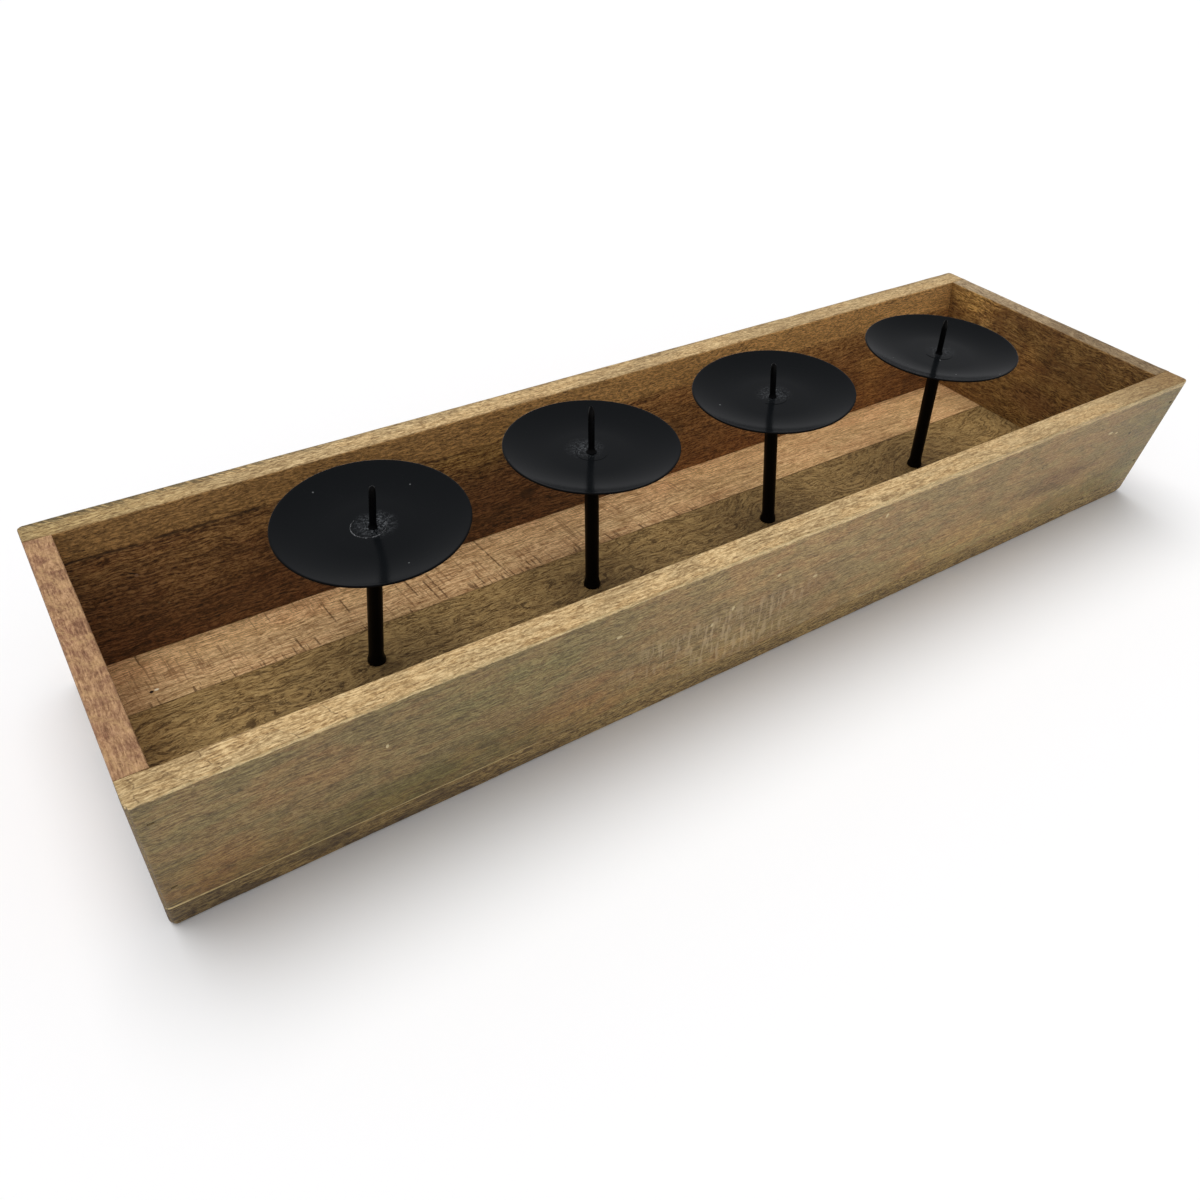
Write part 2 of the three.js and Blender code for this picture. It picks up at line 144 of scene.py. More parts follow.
class Value:
    """An output of a node. It is added, subtracted, multiplied and divided like a number."""

    def __init__(self, nodes, socket):
        self.nodes = nodes
        self.socket = socket

    def __add__(self, other):
        return self.nodes.math("ADD", self, other)

    def __radd__(self, other):
        return self.nodes.math("ADD", other, self)

    def __sub__(self, other):
        return self.nodes.math("SUBTRACT", self, other)

    def __rsub__(self, other):
        return self.nodes.math("SUBTRACT", other, self)

    def __mul__(self, other):
        return self.nodes.math("MULTIPLY", self, other)

    def __rmul__(self, other):
        return self.nodes.math("MULTIPLY", other, self)

    def __truediv__(self, other):
        return self.nodes.math("DIVIDE", self, other)

    def __rtruediv__(self, other):
        return self.nodes.math("DIVIDE", other, self)


class Outputs:
    """All outputs of a node as values, by number or by name."""

    def __init__(self, nodes, sockets):
        self.nodes = nodes
        self.sockets = sockets

    def __getitem__(self, key):
        return Value(self.nodes, self.sockets[key])


class Nodes:
    """Adds nodes to a tree. A number, a colour or another node's value can feed any input."""

    def __init__(self, tree):
        self.tree = tree

    def feed(self, socket, value):
        """Links a value to an input, or sets the input to a number, a colour or the like."""
        if isinstance(value, Value):
            self.tree.links.new(value.socket, socket)
        elif value is not None:
            socket.default_value = value

    def add(self, kind, *values, named=None, **settings):
        """Adds a node with these settings and feeds its inputs, in their order or by name."""
        node = self.tree.nodes.new(kind)
        for key, value in settings.items():
            setattr(node, key, value)
        for socket, value in zip(node.inputs, values):
            self.feed(socket, value)
        for key, value in (named or {}).items():
            self.feed(node.inputs[key], value)
        return node

    def outputs(self, kind, *values, **others):
        """Adds a node and returns its outputs."""
        return Outputs(self, self.add(kind, *values, **others).outputs)

    def math(self, operation, *values, clamp=False):
        return self.outputs("ShaderNodeMath", *values, operation=operation, use_clamp=clamp)[0]

    def larger(self, first, second):
        return self.math("MAXIMUM", first, second)

    def smaller(self, first, second):
        return self.math("MINIMUM", first, second)

    def share(self, value, whole):
        """A ratio, held between 0 and 1."""
        return self.math("DIVIDE", value, whole, clamp=True)

    def sine(self, turns):
        """The sine of an angle in full turns."""
        return self.math("SINE", turns * (2 * math.pi))

    def vector(self, operation, *values):
        return self.outputs("ShaderNodeVectorMath", *values, operation=operation)[0]

    def scaled(self, vector, factor):
        scale = {"Scale": factor}
        return self.outputs("ShaderNodeVectorMath", vector, operation="SCALE", named=scale)[0]

    def length(self, vector):
        return self.outputs("ShaderNodeVectorMath", vector, operation="LENGTH")["Value"]

    def split(self, vector):
        return self.outputs("ShaderNodeSeparateXYZ", vector)

    def join(self, x, y, z):
        return self.outputs("ShaderNodeCombineXYZ", x, y, z)[0]

    def ramp(self, value, low, high, to_low=0.0, to_high=1.0):
        """A smooth step from to_low to to_high while the value goes from low to high."""
        ends = (low, high, to_low, to_high)
        return self.outputs("ShaderNodeMapRange", value, *ends, interpolation_type="SMOOTHSTEP")[0]

    def noise(self, vector, scale=1.0, detail=2.0, roughness=0.5, distortion=0.0):
        inputs = {"Vector": vector, "Scale": scale, "Detail": detail, "Roughness": roughness}
        inputs["Distortion"] = distortion
        return self.outputs("ShaderNodeTexNoise", named=inputs)[0]

    def stretched_noise(self, vector, fineness, **settings):
        """Noise that has a fineness of its own along each axis."""
        return self.noise(self.vector("MULTIPLY", vector, fineness), **settings)

    def centred(self, value):
        """A noise's value, moved so that it swings about 0."""
        return value - 0.5

    def face_noise(self, first, second, seed, fineness, **settings):
        """Noise over a face. Its fineness is how much goes on in a millimetre along each of two axes."""
        place = self.join(first * fineness[0], second * fineness[1], seed)
        return self.noise(place, **settings)

    def line_noise(self, along, fineness, seed, **settings):
        """Noise that changes along one axis only."""
        return self.noise(self.join(along * fineness, 0.0, seed), **settings)

    def cells(self, vector):
        """Scattered cells: the distance to the nearest middle, and a random colour for each cell."""
        inputs = {"Vector": vector, "Scale": 1.0, "Randomness": 1.0}
        cells = self.outputs("ShaderNodeTexVoronoi", named=inputs)
        return cells["Distance"], cells["Color"]

    def position(self):
        """Where each point of a geometry is."""
        return self.outputs("GeometryNodeInputPosition")[0]

    def stored(self, name):
        """A value that the mesh holds at each of its points."""
        return self.outputs("ShaderNodeAttribute", attribute_name=name)["Fac"]

    def blend(self, share, first, second, mode="MIX"):
        """The first colour, with this share of the second one mixed in or multiplied on."""
        node = self.add("ShaderNodeMix", data_type="RGBA", blend_type=mode)
        # The node has sockets for each kind of data; these are the share's and those of the colours
        for index, value in {0: share, 6: first, 7: second}.items():
            self.feed(node.inputs[index], value)
        return Value(self, node.outputs[2])

    def brighten(self, colour, factor):
        """The colour times a number."""
        grey = self.join(factor, factor, factor)
        return self.blend(1.0, colour, grey, "MULTIPLY")

    def use(self, group, **inputs):
        """Places a node group; an underscore in an input's name stands for a space."""
        named = {key.replace("_", " "): value for key, value in inputs.items()}
        return self.outputs("ShaderNodeGroup", named=named, node_tree=group)


def shader_group(name, inputs, outputs):
    """An empty shader node group. Inputs are {name: default}; a tuple makes a vector socket."""
    tree = bpy.data.node_groups.new(name, "ShaderNodeTree")
    for label, value in inputs.items():
        kind = "NodeSocketVector" if isinstance(value, tuple) else "NodeSocketFloat"
        socket = tree.interface.new_socket(name=label, in_out="INPUT", socket_type=kind)
        socket.default_value = value
    for label in outputs:
        tree.interface.new_socket(name=label, in_out="OUTPUT", socket_type="NodeSocketFloat")
    nodes = Nodes(tree)
    entry = nodes.outputs("NodeGroupInput")
    ending = nodes.add("NodeGroupOutput").inputs
    return tree, nodes, entry, ending


# Effects that several finishes share. Their vectors are in millimetres, with X along the grain.


def wood_grain_group():
    """Fibres that wander and curl, the slow figure between them, short dark flecks, ripples across the
    grain and a fine mottle."""
    inputs = {"Vector": (0.0, 0.0, 0.0), "Curl": 0.0, "Curl Length": 16.0, "Ripple Length": 9.0}
    outputs = ("Streaks", "Figure", "Flecks", "Ripple", "Mottle", "Pores")
    tree, n, entry, ending = shader_group("wood grain", inputs, outputs)
    x, y, z = n.split(entry["Vector"])
    slow = n.stretched_noise(entry["Vector"], (0.011, 0.03, 0.03), detail=2)
    wander = n.centred(slow)
    phase = n.stretched_noise(entry["Vector"], (0.03, 0.09, 0.09), detail=1)
    turns = x / entry["Curl Length"] + phase * 1.6
    curl = n.sine(turns) * entry["Curl"]
    across = y + wander * 9 + curl
    depth = z + wander * 6 + curl * 0.6

    def along_fibres(fineness, fineness_across, **settings):
        """Noise drawn out along the fibres."""
        beside = across * fineness_across
        below = depth * fineness_across
        return n.noise(n.join(x * fineness, beside, below), **settings)

    streaks = along_fibres(0.075, 1.15, detail=4, roughness=0.7)
    figure = along_fibres(0.011, 0.11, detail=4, roughness=0.6, distortion=0.4)
    flecks = along_fibres(0.2, 1.5, detail=3, roughness=0.65, distortion=0.3)
    mottle = along_fibres(0.4, 1.2, detail=3, roughness=0.75)
    pores = along_fibres(0.32, 2.1, detail=2, roughness=0.55, distortion=0.2)
    crowding = n.centred(figure) * 0.16
    ripple_place = n.join(x / entry["Ripple Length"], y * 0.05, z * 0.05)
    ripple = n.noise(ripple_place, detail=3, roughness=0.62, distortion=0.9)
    masks = {
        "Streaks": (streaks, 0.35, 0.65),
        "Figure": (figure, 0.32, 0.68),
        "Flecks": (flecks + crowding, 0.57, 0.65),
        "Ripple": (ripple, 0.42, 0.58),
        "Mottle": (mottle, 0.37, 0.63),
        "Pores": (pores + crowding * 0.5, 0.59, 0.65),
    }
    for label, ramp in masks.items():
        n.feed(ending[label], n.ramp(*ramp))
    return tree


def saw_marks_group():
    """Marks of the saw blade: fine lines across the grain, slightly bowed, in patches."""
    inputs = {"Vector": (0.0, 0.0, 0.0), "Pitch": 1.4, "Cover": 0.5, "Patch Size": 40.0, "Bow": 0.01}
    tree, n, entry, ending = shader_group("saw marks", inputs, ("Mask",))
    x, y, z = n.split(entry["Vector"])
    bowed = x + y * y * entry["Bow"] + z * 0.15
    line_place = n.join(bowed / entry["Pitch"], y * 0.035, z * 0.02)
    lines = n.noise(line_place, detail=2, roughness=0.6)
    patches = n.noise(n.scaled(entry["Vector"], 1.0 / entry["Patch Size"]), detail=2)
    edge = 0.72 - entry["Cover"] * 0.45
    inside = n.ramp(patches - edge, -0.03, 0.06)
    n.feed(ending["Mask"], n.ramp(lines, 0.52, 0.68) * inside)
    return tree


def specks_group():
    """Sparse small specks, such as dust, chips and pinholes."""
    inputs = {"Vector": (0.0, 0.0, 0.0), "Spacing": 9.0, "Size": 0.4, "Share": 0.3}
    tree, n, entry, ending = shader_group("specks", inputs, ("Mask",))
    distance, colour = n.cells(n.scaled(entry["Vector"], 1.0 / entry["Spacing"]))
    random = n.split(colour)
    present = n.math("LESS_THAN", random[0], entry["Share"])
    own_size = entry["Size"] * (0.35 + random[1])
    reach = own_size / entry["Spacing"]
    near = n.ramp(distance / reach, 1.0, 0.5)
    n.feed(ending["Mask"], near * present)
    return tree


def edge_wear_group():
    """How worn the wood is at the edges of a board, from the distance that the mesh holds."""
    inputs = {"Vector": (0.0, 0.0, 0.0), "Width": 1.2}
    tree, n, entry, ending = shader_group("edge wear", inputs, ("Mask",))
    uneven = n.stretched_noise(entry["Vector"], (0.12, 0.3, 0.3), detail=3, roughness=0.6)
    reach = entry["Width"] * n.ramp(uneven, 0.35, 0.75, 0.15, 1.9)
    n.feed(ending["Mask"], n.ramp(n.stored("edge_distance") / reach, 1.0, 0.3))
    return tree


def end_grain_group():
    """Growth rings and pores where a board is cut across; the vector's Y and Z lie in the cut."""
    inputs = {"Vector": (0.0, 0.0, 0.0), "Heart": (0.0, 0.0, -60.0), "Ring": 3.2}
    tree, n, entry, ending = shader_group("end grain", inputs, ("Rings", "Pores"))
    flat = n.vector("MULTIPLY", n.vector("SUBTRACT", entry["Vector"], entry["Heart"]), (0.0, 1.0, 1.0))
    wobble = n.noise(n.scaled(entry["Vector"], 0.08), detail=2)
    radius = n.length(flat)
    turns = (radius + wobble * 7) / entry["Ring"]
    n.feed(ending["Rings"], n.ramp(n.sine(turns), -0.4, 1.0))
    distance, colour = n.cells(n.scaled(entry["Vector"], 1.5))
    n.feed(ending["Pores"], n.ramp(distance, 0.32, 0.15) * n.ramp(n.split(colour)[1], 0.4, 0.6))
    return tree


def coat_group():
    """A sprayed black coat: its fine orange peel, and where it is scuffed."""
    inputs = {"Vector": (0.0, 0.0, 0.0), "Peel": 1.4}
    tree, n, entry, ending = shader_group("sprayed coat", inputs, ("Height", "Scuffs"))
    along = n.stretched_noise(entry["Vector"], (0.15, 2.2, 0.4), detail=3, roughness=0.7)
    across = n.stretched_noise(entry["Vector"], (1.9, 0.12, 0.4), detail=3, roughness=0.7)
    n.feed(ending["Height"], n.noise(n.scaled(entry["Vector"], entry["Peel"]), detail=2))
    n.feed(ending["Scuffs"], n.larger(n.ramp(along, 0.66, 0.74), n.ramp(across, 0.67, 0.75)))
    return tree


WOOD_GRAIN = wood_grain_group()
SAW_MARKS = saw_marks_group()
SPECKS = specks_group()
EDGE_WEAR = edge_wear_group()
END_GRAIN = end_grain_group()
COAT = coat_group()


# Finishes


def new_finish(name):
    """A new material, its nodes, its shader, and the place on the object in millimetres."""
    material = bpy.data.materials.new(name)
    material.use_nodes = True
    nodes = Nodes(material.node_tree)
    place = nodes.scaled(nodes.outputs("ShaderNodeTexCoord")["Object"], 1000.0)
    return material, nodes, material.node_tree.nodes["Principled BSDF"], place


def set_surface(n, shader, colour, roughness, height, depth, strength):
    """Gives a finish its colour, roughness and relief; the relief's depth is in metres."""
    n.feed(shader.inputs["Base Color"], colour)
    n.feed(shader.inputs["Roughness"], roughness)
    relief = {"Height": height, "Distance": depth, "Strength": strength}
    n.feed(shader.inputs["Normal"], n.outputs("ShaderNodeBump", named=relief)[0])


def window(n, value, low, high, soft):
    """1 while the value is between low and high, with soft ends."""
    opened = n.ramp(value, low - soft, low + soft)
    closed = n.ramp(value, high - soft, high + soft, 1.0, 0.0)
    return opened * closed


def spot(n, along, up, middle, half_size, edge=(1.3, 0.5)):
    """A soft oval spot on a face, in millimetres."""
    first = (along - middle[0]) / half_size[0]
    second = (up - middle[1]) / half_size[1]
    return n.ramp(first * first + second * second, *edge)


def thin_line(n, offset, half_width, core):
    """1 on a line, where the offset from it is 0, with soft sides."""
    return n.ramp(n.math("ABSOLUTE", offset), half_width, core)


def tinted(n, share, colour, ratio):
    """The colour times a ratio for red, green and blue, over this share."""
    return n.blend(share, colour, (*ratio, 1.0), "MULTIPLY")


def washes(n, colour, along, up, patches, ragged=12.0):
    """Soft patches of another tone on a face. Each has its middle, its half size and a colour ratio."""
    drift = n.centred(n.face_noise(along, up, 1.7, (0.03, 0.05), detail=4, roughness=0.62))
    along = along + drift * (ragged * 4.0)
    up = up + drift * (ragged * 1.2)
    for middle, half_size, ratio in patches:
        share = spot(n, along, up, middle, half_size, (1.8, 0.1))
        colour = tinted(n, share, colour, ratio)
    return colour


class WoodLook(Look):
    """The colours and the grain of one board. Its shift says where in the log it was cut."""

    lies = "flat"
    patch_share = 0.45
    patch_size = (0.02, 0.06)
    rim = None
    rim_flecks = 0.25
    curl = 0.35
    curl_length = 22.0
    ripple = 0.1
    saw = 0.12
    saw_cover = 0.3
    mottle = 0.3
    flecks = 0.45
    pores = 0.35
    marks = None
    contrast = 1.5
    far_contrast = 1.5
    rim_contrast = 0.95
    roughness = 0.58


MEAN_BRIGHTNESS = 0.9  # the grain's contrast is stretched about this
LEAST_BRIGHTNESS = 0.12


def grained(n, grain, vector, colours, look, flecks, contrast):
    """Wood colour from its figure, streaks, patches and flecks; colours are deep, body, light, patch."""
    deep, body, light, patch = colours
    colour = n.blend(grain["Figure"], deep, body)
    along, across = look.patch_size
    slow = n.stretched_noise(vector, (along, across, across), detail=4, roughness=0.6)
    edge = 0.68 - 0.36 * look.patch_share
    colour = n.blend(n.ramp(slow, edge - 0.05, edge + 0.07), colour, patch)
    colour = n.blend(grain["Streaks"] * 0.6, colour, light)
    colour = n.blend(grain["Ripple"] * look.ripple, colour, n.brighten(light, 1.1))
    mottled = n.ramp(grain["Mottle"], 0, 1, 1 - look.mottle, 1 + look.mottle * 0.8)
    streaked = n.ramp(grain["Streaks"], 0, 1, -0.21, 0.21)
    grainy = mottled + streaked - grain["Flecks"] * flecks - grain["Pores"] * look.pores
    factor = n.larger(MEAN_BRIGHTNESS + (grainy - MEAN_BRIGHTNESS) * contrast, LEAST_BRIGHTNESS)
    warm_darks = n.join(n.math("POWER", factor, 0.85), factor, n.math("POWER", factor, 1.2))
    return n.blend(1.0, colour, warm_darks, "MULTIPLY")


CONTRAST_FALL = (-60, 260)  # along the tray, in millimetres: where the grain grows fainter


def along_board(n, x, y, z, lies):
    """The place with X along the board and Y across its face."""
    return n.join(*{"flat": (x, y, z), "wall": (x, z, y), "end": (y, z, x)}[lies])


def rim_wood(n, place, vector, facing, grain, look, colour, height):
    """The rim of a board, with its own colours and marks, where the board looks up."""
    x = place[0]
    on_rim = n.ramp(facing[2], 0.5, 0.8)
    far_contrast = look.rim_contrast * look.far_contrast / look.contrast
    contrast = n.ramp(x, *CONTRAST_FALL, look.rim_contrast, far_contrast)
    rim_colour = grained(n, grain, vector, look.rim, look, look.rim_flecks, contrast)
    rim_colour, rim_height = look.rim_marks(n, place, rim_colour)
    return n.blend(on_rim, colour, rim_colour), height + on_rim * rim_height


def sawn_ends(n, place, facing, look, colour):
    """Rings and pores on the two ends of a board."""
    cut = n.use(END_GRAIN, Vector=place)
    end_colour = n.blend(cut["Rings"] * 0.5, look.end, n.brighten(look.end, 0.62))
    end_colour = n.blend(cut["Pores"] * 0.6, end_colour, n.brighten(look.end, 0.35))
    return n.blend(n.ramp(n.math("ABSOLUTE", facing[0]), 0.6, 0.85), colour, end_colour)


def wood(name, look):
    """Waxed wood. The sawn ends of a board show their end grain, and its rim has colours of its own."""
    material, n, shader, place = new_finish(name)
    x, y, z = n.split(place)
    vector = n.vector("ADD", along_board(n, x, y, z, look.lies), look.shift)
    grain = n.use(WOOD_GRAIN, Vector=vector, Curl=look.curl, Curl_Length=look.curl_length)
    facing = n.split(n.outputs("ShaderNodeNewGeometry")["Normal"])
    colours = (look.deep, look.body, look.light, look.patch)
    contrast = n.ramp(x, *CONTRAST_FALL, look.contrast, look.far_contrast)
    colour = grained(n, grain, vector, colours, look, look.flecks, contrast)

    saw = n.use(SAW_MARKS, Vector=vector, Cover=look.saw_cover)["Mask"]
    colour = n.brighten(colour, n.ramp(saw, 0, 1, 1, 1 - look.saw))
    height = saw * -0.05
    if look.marks:
        colour, height = look.marks(n, (x, y, z), facing, grain, colour, height)
    if look.rim:
        colour, height = rim_wood(n, (x, y, z), vector, facing, grain, look, colour, height)
    if look.lies != "end":
        colour = sawn_ends(n, place, facing, look, colour)

    worn = n.use(EDGE_WEAR, Vector=vector)["Mask"]
    colour = n.blend(worn * 0.3, colour, n.blend(0.5, colour, look.light))
    dust = n.use(SPECKS, Vector=place, Spacing=9.0, Size=0.5, Share=0.14)["Mask"]
    colour = n.blend(dust * 0.5, colour, n.blend(0.6, colour, tone(215, 195, 150)))
    raised = (grain["Streaks"] + grain["Mottle"]) * 0.06
    sunk = (grain["Flecks"] + grain["Pores"]) * -0.08
    rough = n.ramp(grain["Streaks"], 0, 1, look.roughness - 0.06, look.roughness + 0.06)
    rough = rough - worn * 0.05
    set_surface(n, shader, colour, rough, height + raised + sunk, MM, 0.8)
    return material


# What each board has of its own, with painted light and shade on some of them. A function of marks works
# over the place on the board, in millimetres, and returns a colour and a height.


def front_board_tones(n, x, z, colour):
    """Washes of olive and pink, paler to the right and darker towards the foot of the left end."""
    colour = washes(n, colour, x, z, FRONT_WASHES)
    to_right = n.ramp(x, -160, 0) * n.ramp(x, 285, 205, 0.35, 1.0)
    colour = tinted(n, to_right, colour, (1.42, 1.36, 1.5))
    low_right = n.ramp(x, 10, 90) * n.ramp(z, 42, 16)
    colour = tinted(n, low_right, colour, (1.2, 1.22, 1.16))
    colour = tinted(n, n.ramp(x, 250, 300), colour, (0.86, 0.96, 1.02))
    low_left = n.ramp(z, 46, 8) * n.ramp(x, 80, -160)
    colour = tinted(n, low_left, colour, (0.84, 0.8, 0.68))
    left_corner = n.ramp(x + z * 0.6, -210, -300)
    return tinted(n, left_corner, colour, (0.86, 0.8, 0.7))


def glue_line(n, x, z, on_front, colour):
    """Pale glue that was pressed out of the seam under the board, thicker at the left end."""
    wander = n.line_noise(x, 0.05, 0.0, detail=1)
    width = n.ramp(x, -300, -262, 1.25, 0.7)
    near_seam = n.ramp(z - SEAM_HEIGHT, width + 0.3, width)
    stop = -170 + wander * 30
    fading = n.ramp(x, stop, stop + 30, 1.0, 0.22) * n.ramp(x, 10, -60)
    patchy = n.ramp(n.line_noise(x, 0.11, 8.0, detail=3, roughness=0.65), 0.36, 0.6, 0.45, 0.95)
    return n.blend(near_seam * fading * on_front * patchy, colour, tone(212, 187, 130))


def front_board_chips(n, x, z, on_front, colour):
    """Pale chips: a cluster in the middle, flakes along the seam and single ones; and two dark specks."""
    chips = n.use(SPECKS, Vector=n.join(x, 0.0, z), Spacing=4.0, Size=0.5, Share=0.35)["Mask"]
    cluster = window(n, x, -60, 30, 25) * window(n, z, 28, 56, 10)
    flaked = n.face_noise(x, z, 21.0, (0.12, 0.35), detail=3, roughness=0.65)
    by_seam = window(n, x, 4, 84, 14) * window(n, z, 12.5, 15.5, 1.6) * n.ramp(flaked, 0.46, 0.6)
    chips = n.larger(chips * cluster * 0.8, by_seam * 0.5)
    for middle, half_size in FRONT_CHIPS:
        chips = n.larger(chips, spot(n, x, z, middle, half_size))
    colour = n.blend(chips * on_front * 0.75, colour, tone(222, 204, 156))
    dark = 0.0
    for middle, half_size in FRONT_DARK_SPECKS:
        dark = n.larger(dark, spot(n, x, z, middle, half_size))
    return n.blend(dark * on_front * 0.8, colour, tone(45, 35, 26))


def front_board_saw_marks(n, x, z, on_front):
    """Where the blade left pale ripples, most of them in the middle of the board."""
    bowed = x + z * 0.12
    lines = n.face_noise(bowed, z, 0.0, (0.42, 0.07), detail=3, roughness=0.6)
    zone = n.face_noise(x, z, 4.0, (0.02, 0.04), detail=3)
    middle_part = window(n, x, -86, 12, 26) * window(n, z, 12, 50, 10)
    strength = n.ramp(middle_part, 0, 1, 0.08, 1.0)
    return n.ramp(lines, 0.48, 0.6) * n.ramp(zone, 0.36, 0.52) * strength * on_front


def straw_arris(n, x, z, grain, colour):
    """Straw-coloured sapwood over the top arris, with a ragged lower edge."""
    ragged = n.centred(n.line_noise(x, 0.25, 5.0, detail=3, roughness=0.7))
    edge = n.ramp(x, -100, 90, 82.3, 80.4) + ragged * 2.6
    sap = n.ramp(z - edge, -0.3, 0.4)
    straw = n.blend(grain["Streaks"], tone(196, 160, 104), tone(246, 220, 164))
    straw = n.brighten(straw, n.ramp(grain["Mottle"], 0, 1, 0.82, 1.15))
    return n.blend(sap * n.ramp(x, 40, 200, 0.95, 0.55), colour, straw)


def front_board_marks(n, place, facing, grain, colour, height):
    """The front board's own tones, glue line, chips, saw marks and straw-coloured arris."""
    x, _, z = place
    on_front = n.ramp(facing[1], -0.6, -0.8)
    colour = front_board_tones(n, x, z, colour)
    colour = glue_line(n, x, z, on_front, colour)
    colour = front_board_chips(n, x, z, on_front, colour)
    sawn = front_board_saw_marks(n, x, z, on_front)
    colour = n.blend(sawn * 0.55, colour, tone(204, 178, 136))
    return straw_arris(n, x, z, grain, colour), height + sawn * 0.05


def front_rim_marks(n, place, colour):
    """Thin checks across the left end of the front rim, and one along it. Its right end is browner."""
    x, y, _ = place
    colour = tinted(n, n.ramp(x, 205, 300), colour, (0.52, 0.47, 0.4))
    drift = n.centred(n.face_noise(x, y, 9.0, (0.05, 0.13), detail=3))
    broken = n.ramp(n.face_noise(x, y, 3.0, (0.2, 0.4), detail=2), 0.4, 0.55, 0.2, 1.0)
    lengthways = y + 84.6 + drift * 5 - x * 0.012 - 3.2
    cracks = thin_line(n, lengthways, 0.36, 0.12) * n.ramp(x, -232, -242)
    for at, slant in RIM_CRACKS:
        offset = x - at + (y + 84) * slant + drift * 7
        cracks = n.larger(cracks, thin_line(n, offset, 0.36, 0.12))
    cracks = cracks * broken
    return n.blend(cracks * 0.5, colour, tone(92, 68, 40)), cracks * -0.2


def back_board_tones_and_painted_shade(n, x, z, colour):
    """Painted shade, darker towards the floor; lighter at the top left and over the whole right half."""
    # Painted shade: darker low on the board, towards the floor.
    colour = tinted(n, n.ramp(z, 70, 20), colour, (0.7, 0.64, 0.66))
    top_left = n.ramp(z, 50, 62) * n.ramp(x, 20, -60, 0.2, 1.0)
    colour = tinted(n, top_left, colour, (1.45, 1.55, 1.5))
    colour = tinted(n, n.ramp(x, -40, 60), colour, (1.6, 1.62, 1.5))
    return washes(n, colour, x, z, BACK_WASHES)


def golden_sapwood(n, x, z, swing, grain, colour):
    """Golden, gritty sapwood over the top of the inner face, brighter to the right."""
    edge = n.ramp(x, -200, -90, 68.4, 66.5) + swing
    share = n.ramp(z - edge, -1.5, 2.5)
    golden = n.blend(grain["Streaks"], tone(166, 127, 73), tone(203, 157, 96))
    grit = grain["Flecks"] * -0.4 - grain["Pores"] * 0.4
    golden = n.brighten(golden, n.ramp(grain["Mottle"], 0, 1, 0.66, 1.34) + grit)
    to_right = n.ramp(x, -280, 240, 0.9, 1.45) * n.ramp(x, 250, 292, 1.0, 0.74)
    golden = n.brighten(golden, to_right)
    return n.blend(share * n.ramp(x, -190, -90, 0.8, 0.9), colour, golden)


def dark_check(n, x, z, swing, colour):
    """A thin dark check under the sapwood, clearest at the left, and the shade below it."""
    broken = n.face_noise(x, z, 7.0, (0.09, 0.5), detail=4, roughness=0.6)
    level = n.ramp(x, -200, -90, 68.0, 65.5) + swing + n.centred(broken) * 4
    check = thin_line(n, z - level, 1.1, 0.2)
    check = check * n.ramp(broken, 0.36, 0.5) * n.ramp(x, -60, -160, 0.25, 1.0)
    colour = n.blend(check * 0.8, colour, tone(44, 28, 14))
    shade = thin_line(n, z - level + 2.5, 5.0, 0.5)
    colour = tinted(n, shade * n.ramp(x, -60, -180), colour, (0.8, 0.78, 0.78))
    return colour, check


def dark_fibres(n, x, z, colour):
    """Dark wavy fibres, strongest in the left half."""
    streaks = n.face_noise(x, z, 17.0, (0.1, 0.8), detail=3, roughness=0.6, distortion=0.5)
    fibres = n.ramp(streaks, 0.56, 0.66) * n.ramp(x, 30, -40, 0.35, 1.0)
    return n.blend(fibres * 0.45, colour, tone(52, 30, 15))


def back_board_marks_and_painted_shade(n, place, facing, grain, colour, height):
    """The back board's tones with painted shade towards the floor, its sapwood, check and fibres, with a
    knot and a small chipped split.
    """
    x, _, z = place
    swing = n.centred(n.line_noise(x, 0.03, 3.0, detail=4, roughness=0.6)) * 5
    colour = back_board_tones_and_painted_shade(n, x, z, colour)
    colour = golden_sapwood(n, x, z, swing, grain, colour)
    colour, check = dark_check(n, x, z, swing, colour)
    colour = dark_fibres(n, x, z, colour)
    knot = spot(n, x, z, (-54, 31), (5.5, 3.2))
    colour = n.blend(knot * 0.6, colour, tone(40, 24, 14))
    slanted = z + x * 0.5
    split_mark = spot(n, x, slanted, (-262, -76.4), (2.4, 0.5))
    colour = n.blend(split_mark * 0.9, colour, tone(24, 15, 10))
    chip = spot(n, x, z, (-260.8, 53.2), (0.9, 0.9))
    colour = n.blend(chip * 0.7, colour, tone(170, 132, 100))
    return colour, height - check * 0.12 - split_mark * 0.3


def back_rim_marks_and_painted_shade(n, place, colour):
    """Slanting dark checks along the outer edge of the back rim, closest together at the left, and painted
    shade along that edge.
    """
    x, y, _ = place
    slanted = x + y * 0.8
    cross = n.face_noise(slanted, y, 2.0, (0.7, 0.12), detail=3)
    near_edge = n.ramp(y, 83.5, 90.0) * n.ramp(x, -120, -240, 0.4, 1.0)
    checked = n.ramp(cross + near_edge * 0.14, 0.58, 0.66) * near_edge
    colour = tinted(n, n.ramp(x, -170, -290), colour, (0.72, 0.72, 0.64))
    # Painted shade: a dark line along the rim's outer edge.
    colour = tinted(n, n.ramp(y, 88.5, 91.0), colour, (0.72, 0.74, 0.74))
    return n.blend(checked * 0.75, colour, tone(74, 66, 44)), checked * -0.15


def saw_cuts(n, x, y, ragged):
    """Single deep marks of the saw across the board, each with its place and its two ends."""
    cuts = 0.0
    for at, near_end, far_end in SAW_CUTS:
        offset = x - at + ragged * 1.6 - 0.8
        cut = thin_line(n, offset, 0.7, 0.25) * window(n, y, near_end, far_end, 2.0)
        cuts = n.larger(cuts, cut)
    return cuts * n.ramp(ragged, 0.32, 0.5, 0.35, 1.0)


